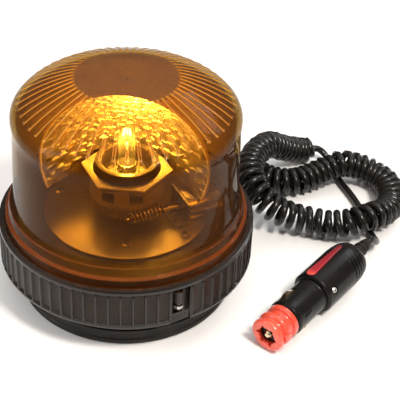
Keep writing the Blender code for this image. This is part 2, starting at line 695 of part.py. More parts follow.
def build_motor():
    frame = worm_frame()
    can = add_piece("motor_can", carried(prism(motor_outline(), MOTOR_START, MOTOR_END), frame), "steel")
    cut(can, rod(1.8, MOTOR_START - 1, SHAFT_END + 1, frame, SCREW_SIDES))
    cap = prism(motor_outline(0.4), MOTOR_END + GAP, MOTOR_END + 3.0)
    add_piece("motor_end_cap", carried(cap, frame), "black_plastic")
    for across, label in ((-5, "minus"), (5, "plus")):
        tab = block((-1.5, across - 0.4, MOTOR_END + 3.0 + GAP), (1.5, across + 0.4, MOTOR_END + 6.0), frame)
        add_piece("motor_terminal_" + label, tab, "brass", smooth=False)
    build_bracket(frame)


def build_bracket(frame):
    half = 11.0
    top = WORM_Z + 7.5
    foot_depth = WORM_Z - POST_BOTTOM
    wall = block((WORM_Z - top, -half, BRACKET_START), (foot_depth, half, BRACKET_END), frame)
    bracket = add_piece("motor_bracket", wall, "steel", smooth=False)
    foot_start = 15.5
    fuse(bracket, block((foot_depth - 1.2, -half, foot_start), (foot_depth, half, BRACKET_START + 0.4), frame))
    cut(bracket, rod(2.6, BRACKET_START - 1, BRACKET_END + 1, frame))
    for across, label in ((-7.5, "front"), (7.5, "rear")):
        x, y, z = motor_point(18.6, across, POST_BOTTOM + 1.2 + GAP)
        for drilled in (bracket, bpy.data.objects["chassis_plate"], bpy.data.objects["base_deck"]):
            cut(drilled, rod(1.35, DECK_BOTTOM - 1, z + 1, at(x, y), SCREW_SIDES))
        add_screw("bracket_screw_" + label, at(x, y, z), 2.0, 1.4, 1.0, 7.0)


# ---------------------------------------------------------------- inner leads

def build_inner_leads():
    inside = gland_frame() @ Vector((0, 0, 53.0))
    lamp = [inside + Vector((0, 0, -1.4)), (24, 34, 15.2), (14, 19, 18.5), (5, 7, 27), (0.8, 1.2, 38), (0, 0, 48),
            (0, 0, 60.6)]
    add_tube("lamp_lead", smooth_curve(lamp, 5.0), 1.0, "lead_cover", resolution=1)
    x, y = MOTOR_LEAD_HOLE
    end = motor_point(MOTOR_END + 7.4, 5.0)
    turn = motor_point(MOTOR_END + 8.5, 12.0)
    motor = [inside + Vector((0, 0, 1.4)), (33, 40, 21), (39, 33, 31), (x, y, 41), (x, y, 46), (43.5, 26.5, 50),
             (turn[0] - 1.5, turn[1] + 4, 53.5), turn, end]
    add_tube("motor_lead", smooth_curve(motor, 5.0), 1.0, "lead_cover", resolution=1)


# ---------------------------------------------------------------- outer lead

def build_lead():
    add_tube("cord_lead_in", smooth_curve(LEAD_IN_ROUTE, 4.5), WIRE_RADIUS, "lead_cover")
    add_tube("curly_cord", smooth_curve(CURLY_ROUTE, 9.0), CURL_RADIUS, "lead_cover", resolution=3)
    add_tube("cord_tail", smooth_curve(TAIL_ROUTE, 6.0), WIRE_RADIUS, "lead_cover")


# ---------------------------------------------------------------- plug

def plug_frame():
    """+Z runs along the plug from its red face to the lead, +Y is its upper side."""
    azimuth = radians(PLUG_AZIMUTH)
    tilt = radians(PLUG_TILT)
    ahead = Vector((cos(azimuth) * cos(tilt), sin(azimuth) * cos(tilt), sin(tilt)))
    side = Vector((-sin(azimuth), cos(azimuth), 0.0))
    above = ahead.cross(side)
    return Matrix((side, above, ahead)).transposed()


def round_plug(angle):
    """Turns +X of the plug's frame to an angle from its top, positive towards the front right."""
    return Matrix.Rotation(radians(90 + angle), 4, "Z")


def build_adapter(axis):
    profile = [
        (ADAPTER_LIP, 0.0), (9.0, 0.0), (9.8, 0.8), (9.8, 3.2), (8.0, 4.2), (8.0, 5.4), (10.1, 6.2),
        (10.1, 9.0), (8.3, 9.9), (8.3, 12.7), (9.8, 13.1),
        (9.8, ADAPTER_END), (ADAPTER_BORE, ADAPTER_END), (ADAPTER_BORE, 2.4), (ADAPTER_LIP, 2.4),
    ]
    adapter = add_piece("red_adapter", turned(profile, 22), "red_plastic", axis)
    for step in range(6):
        x, y = polar(ADAPTER_LIP + 0.3, 60 * step + 3)
        cut(adapter, rod(1.1, -1, 2.7, at(x, y), 10))
    fuse(adapter, block((7.8, -2.0, 3.6), (ADAPTER_RADIUS + 0.6, 2.0, 8.6), round_plug(85)))


def build_nose(axis):
    profile = [
        (TIP_BORE, TIP_START), (TIP_RADIUS - 0.5, TIP_START), (TIP_RADIUS, TIP_START + 0.6), (TIP_RADIUS, NOSE_START),
        (9.6, NOSE_START), (ADAPTER_RADIUS, NOSE_START + 1.2), (ADAPTER_RADIUS, NOSE_END), (0, NOSE_END),
        (0, NOSE_START - 0.7), (TIP_BORE, NOSE_START - 0.7),
    ]
    nose = add_piece("plug_nose", turned(profile, 22), "black_plastic", axis)
    for name, angle in SIDE_CONTACTS.items():
        turn = round_plug(angle)
        cut(nose, block((6.9, -1.9, SLOT_START), (13.0, 1.9, SLOT_END), turn))
        front = SLOT_START + GAP
        rear = SLOT_END - GAP
        outline = [(8.2, front), (9.6, front), (11.3, front + 4.5), (11.3, rear - 4.5), (9.6, rear), (8.2, rear)]
        upright = turn @ Matrix.Rotation(pi / 2, 4, "X")
        add_piece(name, carried(prism(outline, -1.6, 1.6), upright), "brass", axis, smooth=False)
    contact = [
        (0, 0.8), (1.3, 0.8), (2.2, 2.0), (2.2, 8.0), (0.9, 8.0), (0.9, 12.5), (0, 12.5),
    ]
    add_piece("centre_contact", turned(contact, 16), "brass", axis)
    turns = 3
    steps = 10
    spring = []
    for step in range(turns * steps + 1):
        angle = 2 * pi * step / steps
        spring.append((1.75 * cos(angle), 1.75 * sin(angle), 8.7 + 3.6 * step / (turns * steps)))
    add_tube("contact_spring", spring, 0.35, "steel", axis, resolution=0)


def lens_outline(margin):
    """Teardrop along the grip: wide and round at the front, narrow at the rear."""
    wide = 2.8 + margin
    narrow = 1.5 + margin
    front = [(LENS_FRONT - wide * sin(radians(a)), wide * cos(radians(a))) for a in range(0, 181, 30)]
    rear = [(LENS_REAR + narrow * sin(radians(a)), -narrow * cos(radians(a))) for a in range(0, 181, 45)]
    return front + rear


def build_grip(axis):
    profile = [
        (0, GRIP_START), (GRIP_RADIUS - 0.8, GRIP_START), (GRIP_RADIUS, GRIP_START + 0.8), (GRIP_RADIUS, GRIP_END - 13),
        (GRIP_RADIUS - 0.8, GRIP_END - 6), (GRIP_RADIUS - 2.4, GRIP_END - 1.8), (8.6, GRIP_END), (0, GRIP_END),
    ]
    grip = add_piece("plug_grip", turned(profile, 26), "black_plastic", axis)
    on_side = round_plug(LENS_ANGLE) @ Matrix(((0, 0, 1, 0), (0, 1, 0, 0), (-1, 0, 0, 0), (0, 0, 0, 1)))
    flipped = [(-w, across) for w, across in lens_outline(GAP)]
    cut(grip, carried(prism(flipped, GRIP_RADIUS - 1.6, GRIP_RADIUS + 3), on_side))
    flipped = [(-w, across) for w, across in lens_outline(0.0)]
    lens = prism(flipped, GRIP_RADIUS - 1.3, GRIP_RADIUS + 0.5)
    add_piece("indicator_lens", carried(lens, on_side), "red_plastic", axis, smooth=False)
    radial = round_plug(PLUG_SCREW_ANGLE) @ Matrix.Translation((GRIP_RADIUS - 1.3, 0, PLUG_SCREW_W))
    radial = radial @ Matrix.Rotation(pi / 2, 4, "Y")
    cut(grip, carried(rod(2.3, -GAP, 6, sides=SCREW_SIDES), radial))
    cut(grip, carried(rod(1.2, -7, 1, sides=SCREW_SIDES), radial))
    add_screw("plug_screw", radial, 1.9, 1.2, 0.8, 6.0, parent=axis)
    relief = [(0, GRIP_END + GAP), (5.2, GRIP_END + GAP), (5.0, GRIP_END + 3.5), (3.9, GRIP_END + 9.5),
              (2.9, RELIEF_END), (0, RELIEF_END)]
    add_piece("plug_strain_relief", turned(relief, 16), "black_rubber", axis)


def build_plug():
    axis = add_axis("plug_axis", PLUG_FACE, plug_frame())
    build_adapter(axis)
    build_nose(axis)
    build_grip(axis)


def build_beacon():
    clear_scene()
    build_foot()
    build_housing()
    build_gland()
    build_deck()
    build_ring()
    build_dome()
    build_lamp()
    build_worm_wheel()
    build_reflector(build_drum())
    build_worm()
    build_motor()
    build_inner_leads()
    build_lead()
    build_plug()
    bpy.context.view_layer.update()


build_beacon()
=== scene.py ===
from math import asin, ceil, cos, pi, radians, sin, sqrt

import bmesh
import bpy
from mathutils import Matrix, Vector


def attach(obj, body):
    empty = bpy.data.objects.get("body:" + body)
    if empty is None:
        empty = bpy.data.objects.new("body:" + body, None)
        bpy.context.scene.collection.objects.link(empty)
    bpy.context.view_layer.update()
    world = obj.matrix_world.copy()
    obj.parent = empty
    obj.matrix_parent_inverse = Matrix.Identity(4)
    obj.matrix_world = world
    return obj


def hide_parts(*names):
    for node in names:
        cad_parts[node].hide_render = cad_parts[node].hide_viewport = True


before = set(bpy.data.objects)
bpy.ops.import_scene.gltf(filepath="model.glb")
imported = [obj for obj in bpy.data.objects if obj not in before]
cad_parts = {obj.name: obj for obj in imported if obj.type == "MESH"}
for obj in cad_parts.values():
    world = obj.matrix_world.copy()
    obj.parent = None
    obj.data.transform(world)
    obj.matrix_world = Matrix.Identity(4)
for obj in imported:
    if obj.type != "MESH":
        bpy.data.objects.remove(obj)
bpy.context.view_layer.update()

MM = 0.001  # the sizes below are in millimetres
ALONG_X = Matrix.Rotation(pi / 2, 4, "Y")  # lays +Z along +X

# Camera
CAMERA_PLACE = (0.0, -489.2, 413.6)
CAMERA_PITCH = 53.5  # from straight down
CAMERA_TURN = -3.79  # about the camera's own upright, towards the lead
CAMERA_LENS = 99.3  # on a 36 mm sensor

# Lead
WIRE_RADIUS = 2.2
HELIX_RADIUS = 6.8
HELIX_STEPS = 14  # points for each turn of the helix
SPINE_STEP = 0.25
HELIX_RUN_IN = 4.5  # over which each end of the helix grows to its radius
LEAD_IN_ROUTE = [
    (45.1, 64.4, 16.1), (47.6, 68.0, 15.7), (51.0, 72.6, 13.6), (54.3, 76.6, 11.0), (56.7, 80.4, 9.4),
]
CURLY_ROUTE = [
    (57.0, 81.0, 9.3), (60.5, 88.5, 9.3), (67.0, 93.0, 9.3), (75.0, 92.5, 9.3), (82.0, 87.5, 9.3),
    (88.5, 81.5, 9.3), (97.0, 77.5, 9.3), (107.0, 77.5, 9.4), (117.0, 82.0, 9.5), (127.0, 87.0, 11.5),
    (138.0, 89.5, 14.6), (149.0, 89.5, 12.2), (158.5, 85.5, 9.5), (164.5, 77.0, 9.3), (166.0, 65.0, 9.3),
    (163.0, 52.0, 9.3), (156.0, 41.0, 12.0), (146.0, 33.0, 14.8), (135.0, 29.5, 13.2), (123.0, 31.5, 10.0),
    (111.0, 35.5, 9.5), (100.0, 37.5, 11.5), (89.0, 38.5, 16.5), (80.0, 42.5, 23.5), (75.5, 51.0, 28.2),
    (75.3, 62.0, 29.6), (78.0, 73.5, 29.8), (83.5, 85.0, 28.6), (91.0, 95.0, 25.5), (101.5, 105.5, 16.0),
    (113.5, 112.5, 9.5), (123.0, 114.5, 9.3),
]
TAIL_ROUTE = [
    (124.2, 114.8, 9.3), (127.8, 115.2, 8.2), (131.8, 112.6, 5.2), (134.8, 105.6, 2.8), (136.2, 96.5, 2.4),
    (138.4, 85.5, 2.4), (142.2, 73.2, 2.4), (145.3, 60.5, 2.4), (146.0, 48.0, 2.4), (147.3, 36.0, 2.4),
    (148.8, 27.0, 3.2), (148.3, 18.5, 7.2), (145.2, 12.2, 12.2), (142.2, 9.2, 14.9), (140.6, 7.5, 15.3),
    (128.5, -5.6, 14.5),
]
# share of the curled length, and the rise of one turn there
PITCHES = [(0.0, 4.9), (0.25, 5.0), (0.5, 5.4), (0.62, 6.6), (0.72, 5.6), (0.8, 4.75), (1.0, 4.7)]

# Dome
DOME_RIBS = 54
RIB_HALF = 0.95
RIB_HEIGHT = 0.5
RIB_START = 28.4
RIB_END = 55.6
DOME_TOP = 129.8
DOME_FLAT = 27.7  # radius of the flat top
DOME_WALL = 2.4
CROWN_EDGE = (56.2, 115.0)
SHOULDER = (59.9, 103.2)
SKIRT = (61.5, 56.3)
FOOT_TOP = 57.0  # the stepped foot ends below this height
FOOT_RADIUS = 62.8  # and lies outside this radius

# Ring
RING_RIBS = 68
RING_RIB_HALF = 0.78
RING_OUTER = 70.4
RING_PANEL = 69.3
RING_INNER = 68.2
RING_BOTTOM = 20.5
RING_TOP = 45.0
NOTCH_WIDTH = 11.5
NOTCH_TOP = 42.0
LOCK_AZIMUTH = -66.7
LOCK_RADIUS = 67.4

# Foot, deck and plate
BOOT_RADIUS = 60.0
BOOT_TOP = 9.6
DECK_BORE = 12.0
DECK_BOTTOM = 43.5
DECK_TOP = 46.0
PLATE_BOTTOM = 46.3
PLATE_TOP = 47.3
PLATE_RADIUS = 45.6
PLATE_SCREWS = [(0.0, -34.2), (31.7, -26.3), (-37.2, 13.5)]
PLATE_SCREW_HOLE = 1.75  # holes are given by their radius
LEAD_HOLE_PLACE = (42.5, 29.5)
LEAD_HOLE = 2.0
SPARE_HOLE_PLACE = (30.0, 13.0)
SPARE_HOLE = 1.8
PLATE_MARK_PLACE = (-7.0, -39.3)
PLATE_MARK = 3.4

# Rotor
ROTOR_TURN = -8.0
DRUM_RADIUS = 20.0
DRUM_BOTTOM = 58.9
DRUM_TOP = 72.7
CARRIER_BOTTOM = 73.0
CARRIER_TOP = 74.2
CARRIER_CORNER = 25.0
CARRIER_BORE = 18.3
DISH_SCREW_X = 10.5
DISH_SCREW_Y = 19.3
DISH_SCREW_HOLE = 1.1
DISH_FOCUS = 17.5
DISH_VERTEX = 18.6
DISH_RIM = 45.0
DISH_CENTRE = 80.0
DISH_WALL = 1.2
DISH_FOOT = 74.5
DISH_WING_FOOT = 63.0
DISH_WING_ROOT = 66.0
DISH_WING_INNER = 21.5

# Worm
WORM_AZIMUTH = 23.5
WORM_OFFSET = 20.0
WORM_Z = 54.8
WORM_ROOT = 2.4
WORM_TIP = 3.8
WORM_PITCH = 2.2
WORM_START = -7.5
WORM_END = 12.0
WORM_STEPS = 28  # for each turn of the thread

# Lamp and motor
HOLDER_RADIUS = 17.2
HOLDER_TOP = 79.0
BULB_RADIUS = 4.6
BULB_FOOT = 77.3
FILAMENT_Z = 87.5
FILAMENT_RADIUS = 0.9
FILAMENT_HALF = 3.0
MOTOR_RADIUS = 7.2
MOTOR_CENTRE = 2.8  # of each round end, from the middle
MOTOR_START = 24.2  # along the worm's axis
MOTOR_END = 44.0
BRACKET_SCREW_ALONG = 18.6
BRACKET_SCREW_ACROSS = 7.5
BRACKET_SCREW_HOLE = 1.35

# Plug
PLUG_FACE = (73.45, -65.77, 10.45)
PLUG_AZIMUTH = 47.56
PLUG_TILT = 2.9
GRIP_RADIUS = 12.5
NOSE_RADIUS = 10.4
TIP_RADIUS = 5.9
ADAPTER_BORE = 6.2
ADAPTER_LIP = 5.2
ADAPTER_END = 16.2
NOSE_START = 16.5
NOSE_END = 41.7
SLOT_START = 19.4
SLOT_END = 32.0
CONTACT_ANGLES = (-31.0, 149.0)
BUMP_ANGLES = {"right": 70.0, "left": -110.0}
BUMP_W = 25.5
GRIP_START = 42.0
GRIP_END = 83.0
RELIEF_END = 98.6
PLUG_SCREW_ANGLE = 64.0
PLUG_SCREW_W = 48.0
RIDGES = 5
RIDGE_STEP = 2.6
LENS_ANGLE = -17.0
LENS_FRONT = 45.8
LENS_REAR = 73.0
LENS_WIDE = 2.8  # half widths of the stripe's ends
LENS_NARROW = 1.5

# Gland: its lengths run outwards from the beacon's axis
GLAND_AZIMUTH = 55.0
GLAND_Z = 16.2
GLAND_START = 54.6
GLAND_END = 78.0

# Looks
DIMPLE = 4.0  # width of one dimple of the reflector
LAMP_POWER = 0.38
LAMP_Z = 88.5
FLOOR_DROP = 0.4  # below the rubber foot
# what one surface of the dome lets through
AMBER_DEEP = (0.82, 0.59, 0.21)
AMBER_LIGHT = (0.86, 0.65, 0.25)


# ---- curves and frames

def smooth_curve(route, spacing):
    """Evenly spaced points on a Catmull-Rom curve through a route."""
    points = [Vector(point) for point in route]
    points = [2 * points[0] - points[1]] + points + [2 * points[-1] - points[-2]]
    fine = []
    steps = 16
    for a, b, c, d in zip(points, points[1:], points[2:], points[3:]):
        for step in range(steps):
            t = step / steps
            fine.append(0.5 * (2 * b + (c - a) * t + (2 * a - 5 * b + 4 * c - d) * t ** 2
                               + (3 * b - a - 3 * c + d) * t ** 3))
    fine.append(points[-2])
    lengths = [0.0]
    for before, after in zip(fine, fine[1:]):
        lengths.append(lengths[-1] + (after - before).length)
    count = max(2, ceil(lengths[-1] / spacing))
    even = []
    place = 0
    for step in range(count + 1):
        wanted = lengths[-1] * step / count
        while place < len(fine) - 2 and lengths[place + 1] < wanted:
            place += 1
        share = (wanted - lengths[place]) / (lengths[place + 1] - lengths[place])
        even.append(fine[place].lerp(fine[place + 1], share))
    return even


def pitch_at(share):
    """Rise of one turn at a share of the curled length."""
    for (start, low), (end, high) in zip(PITCHES, PITCHES[1:]):
        if share <= end:
            return low + (high - low) * (share - start) / (end - start)
    return PITCHES[-1][1]


def helix_along(route):
    """The wire's centreline wound round a route; the radius grows from nothing and shrinks back."""
    spine = smooth_curve(route, SPINE_STEP)
    across = Vector((0, 0, 1))
    total = len(spine) - 1
    wire = []
    turned_by = 0.0
    shown = 0.0
    for place, point in enumerate(spine):
        ahead = (spine[min(place + 1, total)] - spine[max(place - 1, 0)]).normalized()
        across = (across - ahead * across.dot(ahead)).normalized()
        aside = ahead.cross(across)
        if place:
            turned_by += (point - spine[place - 1]).length / pitch_at(place / total)
        edge = min(place, total - place) * SPINE_STEP / HELIX_RUN_IN
        radius = HELIX_RADIUS * min(1.0, edge) ** 0.5
        if turned_by - shown >= 1 / HELIX_STEPS or place in (0, total):
            shown = turned_by
            angle = 2 * pi * turned_by
            wire.append(point + (across * cos(angle) + aside * sin(angle)) * radius)
    return wire


def plug_matrix():
    """+Z runs along the plug from its red face to the lead, +Y is its upper side."""
    azimuth = radians(PLUG_AZIMUTH)
    tilt = radians(PLUG_TILT)
    ahead = Vector((cos(azimuth) * cos(tilt), sin(azimuth) * cos(tilt), sin(tilt)))
    side = Vector((-sin(azimuth), cos(azimuth), 0.0))
    turn = Matrix((side, ahead.cross(side), ahead)).transposed()
    return Matrix.Translation(PLUG_FACE) @ turn.to_4x4()


def round_plug(angle):
    """The plug's frame with +X turned to an angle from its top, positive towards the front right."""
    return plug_matrix() @ Matrix.Rotation(radians(90 + angle), 4, "Z")


def at(x, y, z=0.0, azimuth=0.0):
    return Matrix.Translation((x, y, z)) @ Matrix.Rotation(radians(azimuth), 4, "Z")


def polar(radius, azimuth):
    return radius * cos(radians(azimuth)), radius * sin(radians(azimuth))


def on_circle(radius, angle, height):
    return Vector((radius * cos(angle), radius * sin(angle), height))


def gland_matrix():
    return at(0, 0, GLAND_Z, GLAND_AZIMUTH) @ ALONG_X


def worm_matrix():
    return at(*polar(WORM_OFFSET, WORM_AZIMUTH - 90), WORM_Z, WORM_AZIMUTH) @ ALONG_X


# ---- meshes

def rounded(profile, radius, steps=3):
    """Rounds each corner of a closed (radius, height) outline that isn't on the axis."""
    points = [Vector(point) for point in profile]
    result = []
    for place, corner in enumerate(points):
        before = points[place - 1]
        after = points[(place + 1) % len(points)]
        if corner.x < 1e-6:
            result.append(tuple(corner))
            continue
        back = min(radius, 0.4 * (before - corner).length)
        on = min(radius, 0.4 * (after - corner).length)
        start = corner + (before - corner).normalized() * back
        end = corner + (after - corner).normalized() * on
        for step in range(steps + 1):
            t = step / steps
            point = start * (1 - t) ** 2 + corner * 2 * t * (1 - t) + end * t ** 2
            result.append(tuple(point))
    return result


def linked(name, data):
    made = bpy.data.objects.new(name, data)
    bpy.context.scene.collection.objects.link(made)
    return made


def new_object(name, bm, matrix=None, smooth=40):
    bmesh.ops.recalc_face_normals(bm, faces=bm.faces)
    mesh = bpy.data.meshes.new(name)
    bm.to_mesh(mesh)
    bm.free()
    if matrix:
        scaled = matrix.copy()
        scaled.translation = scaled.translation * MM
        mesh.transform(scaled)
    if smooth:
        mesh.shade_smooth()
        mesh.set_sharp_from_angle(angle=radians(smooth))
    return linked(name, mesh)


def add_points(bm, points):
    return [bm.verts.new(Vector(point) * MM) for point in points]


def skin(bm, rings, closed=True):
    """Faces between rings of points, some of them perhaps of one point; closed also joins last to first."""
    sides = max(len(ring) for ring in rings)
    following = rings[1:] + rings[:1] if closed else rings[1:]
    for lower, upper in zip(rings, following):
        for step in range(sides):
            after = (step + 1) % sides
            corners = [lower[step % len(lower)], lower[after % len(lower)],
                       upper[after % len(upper)], upper[step % len(upper)]]
            corners = list(dict.fromkeys(corners))
            if len(corners) > 2:
                bm.faces.new(corners)


def turned(name, profile, sides=96, matrix=None, corner=0.0):
    """Solid of revolution from a closed (radius, height) outline."""
    if corner:
        profile = rounded(profile, corner)
    bm = bmesh.new()
    rings = []
    for radius, height in profile:
        count = sides if radius > 1e-6 else 1
        ring = [on_circle(radius, 2 * pi * step / sides, height) for step in range(count)]
        rings.append(add_points(bm, ring))
    skin(bm, rings)
    return new_object(name, bm, matrix)


def ring_surface(name, rings, smooth=40):
    """Closed solid from rings of equal point counts, the last ring joined to the first."""
    bm = bmesh.new()
    skin(bm, [add_points(bm, ring) for ring in rings])
    return new_object(name, bm, None, smooth)


def prism(name, outline, low, high, matrix=None, smooth=0, bevel=0.0):
    """Outline in X and Y, raised from one height to another."""
    bm = bmesh.new()
    bottom = add_points(bm, [(x, y, low) for x, y in outline])
    top = add_points(bm, [(x, y, high) for x, y in outline])
    bm.faces.new(bottom)
    bm.faces.new(top)
    skin(bm, [bottom, top], closed=False)
    made = new_object(name, bm, matrix, smooth)
    if bevel:
        modifier = made.modifiers.new("Bevel", "BEVEL")
        modifier.width = bevel * MM
        modifier.segments = 2
        modifier.limit_method = "ANGLE"
        settle(made)
    return made


def band(inner, outer, low, high):
    """Outline of four corners, for turned or prism."""
    return [(inner, low), (outer, low), (outer, high), (inner, high)]


def rod(radius, low, high, matrix=None, sides=32):
    return turned("cutter", band(0, radius, low, high), sides, matrix)


def block(low, high, matrix=None, name="cutter", bevel=0.0):
    outline = band(low[0], high[0], low[1], high[1])
    return prism(name, outline, low[2], high[2], matrix, bevel=bevel)


def as_mesh(piece):
    """A piece's mesh with its modifiers or its bevel applied."""
    graph = bpy.context.evaluated_depsgraph_get()
    return bpy.data.meshes.new_from_object(piece.evaluated_get(graph))


def settle(piece):
    mesh = as_mesh(piece)
    piece.modifiers.clear()
    piece.data = mesh


def combine(piece, other, operation, smooth=40):
    """Boolean of two objects, which uses up the second."""
    modifier = piece.modifiers.new("Boolean", "BOOLEAN")
    modifier.operation = operation
    modifier.object = other
    bpy.context.view_layer.update()
    settle(piece)
    bpy.data.objects.remove(other)
    piece.data.shade_smooth()
    piece.data.set_sharp_from_angle(angle=radians(smooth))


def tube(name, points, radius, resolution=4):
    """Round wire through points, as a curve of one open spline."""
    curve = bpy.data.curves.new(name, "CURVE")
    curve.dimensions = "3D"
    curve.bevel_depth = radius * MM
    curve.bevel_resolution = resolution
    curve.use_fill_caps = True
    spline = curve.splines.new("POLY")
    spline.points.add(len(points) - 1)
    for point, place in zip(spline.points, points):
        point.co = (*(Vector(place) * MM), 1.0)
    spline.use_smooth = True
    return linked(name, curve)


def place_piece(piece, body, slot, material, *nodes):
    """Gives a piece its finish and its body, and hides the CAD nodes that it stands for."""
    piece.data.materials.clear()
    piece.data.materials.append(material)
    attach(piece, body)
    if nodes:
        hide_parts(*nodes)
    return piece


# ---- materials

class Nodes:
    """Short names for adding and joining a material's nodes."""

    def __init__(self, name):
        self.material = bpy.data.materials.new(name)
        self.material.use_nodes = True
        self.tree = self.material.node_tree
        self.shader = self.tree.nodes["Principled BSDF"]
        self.out = self.tree.nodes["Material Output"]

    def add(self, kind, **values):
        node = self.tree.nodes.new(kind)
        for key, value in values.items():
            if key in node.inputs:
                node.inputs[key].default_value = value
            else:
                setattr(node, key, value)
        return node

    def join(self, source, target):
        self.tree.links.new(source, target)

    def place(self, scale=(1, 1, 1)):
        coordinates = self.add("ShaderNodeTexCoord")
        mapping = self.add("ShaderNodeMapping")
        mapping.inputs["Scale"].default_value = scale
        self.join(coordinates.outputs["Object"], mapping.inputs["Vector"])
        return mapping.outputs["Vector"]

    def noise(self, scale, detail=3.0, stretch=(1, 1, 1)):
        node = self.add("ShaderNodeTexNoise", Scale=scale, Detail=detail)
        self.join(self.place(stretch), node.inputs["Vector"])
        return node.outputs["Fac"]

    def ramp(self, source, stops):
        node = self.add("ShaderNodeValToRGB")
        ramp = node.color_ramp
        while len(ramp.elements) < len(stops):
            ramp.elements.new(0.5)
        for element, (position, colour) in zip(ramp.elements, stops):
            element.position = position
            element.color = (*colour, 1.0)
        self.join(source, node.inputs["Fac"])
        return node.outputs["Color"]

    def spread(self, source, low, high):
        node = self.add("ShaderNodeMapRange")
        node.inputs["To Min"].default_value = low
        node.inputs["To Max"].default_value = high
        self.join(source, node.inputs["Value"])
        return node.outputs["Result"]

    def colour(self, source, stops):
        self.join(self.ramp(source, stops), self.shader.inputs["Base Color"])

    def gloss(self, source, low, high):
        self.join(self.spread(source, low, high), self.shader.inputs["Roughness"])

    def mix_with_clear(self, tints, share):
        """Lets light straight through, tinted, where the share of the shader's own surface is small."""
        clear = self.add("ShaderNodeBsdfTransparent")
        self.join(tints, clear.inputs["Color"])
        mix = self.add("ShaderNodeMixShader")
        self.join(share, mix.inputs["Fac"])
        self.join(clear.outputs["BSDF"], mix.inputs[1])
        self.join(self.shader.outputs["BSDF"], mix.inputs[2])
        self.join(mix.outputs["Shader"], self.out.inputs["Surface"])

    def bump(self, source, distance, strength=1.0):
        node = self.add("ShaderNodeBump", Strength=strength, Distance=distance * MM)
        self.join(source, node.inputs["Height"])
        self.join(node.outputs["Normal"], self.shader.inputs["Normal"])


def moulded(name, dark, light, roughness, grain=900.0, depth=0.03, coat=0.0, metallic=0.0, stretch=(1, 1, 1),
            specular=0.5):
    """Moulded or plated surface: mottled colour, uneven gloss and a fine grain."""
    make = Nodes(name)
    mottle = make.noise(60.0, 4.0, stretch)
    make.colour(mottle, [(0.3, dark), (0.7, light)])
    make.gloss(make.noise(140.0, 3.0, stretch), roughness * 0.75, roughness * 1.3)
    make.bump(make.noise(grain, 2.0, stretch), depth, 0.6)
    make.shader.inputs["Metallic"].default_value = metallic
    make.shader.inputs["Coat Weight"].default_value = coat
    make.shader.inputs["Coat Roughness"].default_value = 0.12
    make.shader.inputs["Specular IOR Level"].default_value = specular
    return make.material


def amber_material(name, face_on, edge_on, inner, outer):
    """Tinted clear plastic: light passes straight through, tinted, and the surface keeps its gloss.

    face_on and edge_on are how solid the surface looks from the front and from the side; inner and outer
    are its colours there: the plastic's own, or painted glints for the rib edges and the foot's steps.
    """
    make = Nodes(name)
    facing = make.add("ShaderNodeLayerWeight", Blend=0.4)
    make.colour(facing.outputs["Facing"], [(0.1, inner), (0.75, outer)])
    make.gloss(make.noise(200.0), 0.04, 0.08)
    make.shader.inputs["IOR"].default_value = 1.32
    tints = make.ramp(make.noise(25.0, 2.0), [(0.3, AMBER_DEEP), (0.7, AMBER_LIGHT)])
    make.mix_with_clear(tints, make.spread(facing.outputs["Facing"], face_on, edge_on))
    return make.material


def bright_material(name, tint, roughness, depth):
    """Vacuum-metallised surface with a slight orange peel."""
    make = Nodes(name)
    darker = tuple(value * 0.93 for value in tint)
    make.colour(make.noise(80.0), [(0.3, darker), (0.7, tint)])
    make.gloss(make.noise(300.0), roughness * 0.7, roughness * 1.4)
    make.shader.inputs["Metallic"].default_value = 1.0
    make.bump(make.noise(450.0, 2.0), depth, 0.5)
    return make.material


def dimpled_material():
    """Reflector film over small pressed dimples, with painted shade towards each dimple's edge."""
    make = Nodes("reflector_film_painted_dimple_shade")
    cells = make.add("ShaderNodeTexVoronoi", Scale=1 / (DIMPLE * MM))
    cells.distance = "CHEBYCHEV"
    make.join(make.place((1.0, 0.25, 1.0)), cells.inputs["Vector"])
    # colour darkens towards each dimple's edge: painted shade between the dimples, painted highlight at their
    # middles
    make.colour(cells.outputs["Distance"], [(0.0, (0.96, 0.93, 0.86)), (0.8, (0.70, 0.62, 0.50))])
    make.gloss(make.noise(300.0), 0.26, 0.38)
    make.shader.inputs["Metallic"].default_value = 1.0
    make.bump(cells.outputs["Distance"], 1.2)
    return make.material


def glass_material():
    make = Nodes("bulb_glass")
    make.shader.inputs["Base Color"].default_value = (0.03, 0.03, 0.03, 1.0)
    make.shader.inputs["Roughness"].default_value = 0.03
    facing = make.add("ShaderNodeLayerWeight", Blend=0.4)
    tints = make.ramp(make.noise(90.0), [(0.3, (0.93, 0.93, 0.9)), (0.7, (0.98, 0.98, 0.95))])
    make.mix_with_clear(tints, facing.outputs["Fresnel"])
    return make.material


def filament_material():
    make = Nodes("lit_filament")
    make.join(make.ramp(make.noise(900.0), [(0.3, (1.0, 0.62, 0.28)), (0.7, (1.0, 0.80, 0.5))]),
              make.shader.inputs["Emission Color"])
    make.shader.inputs["Emission Strength"].default_value = 0.6
    make.shader.inputs["Base Color"].default_value = (0.1, 0.08, 0.06, 1.0)
    return make.material


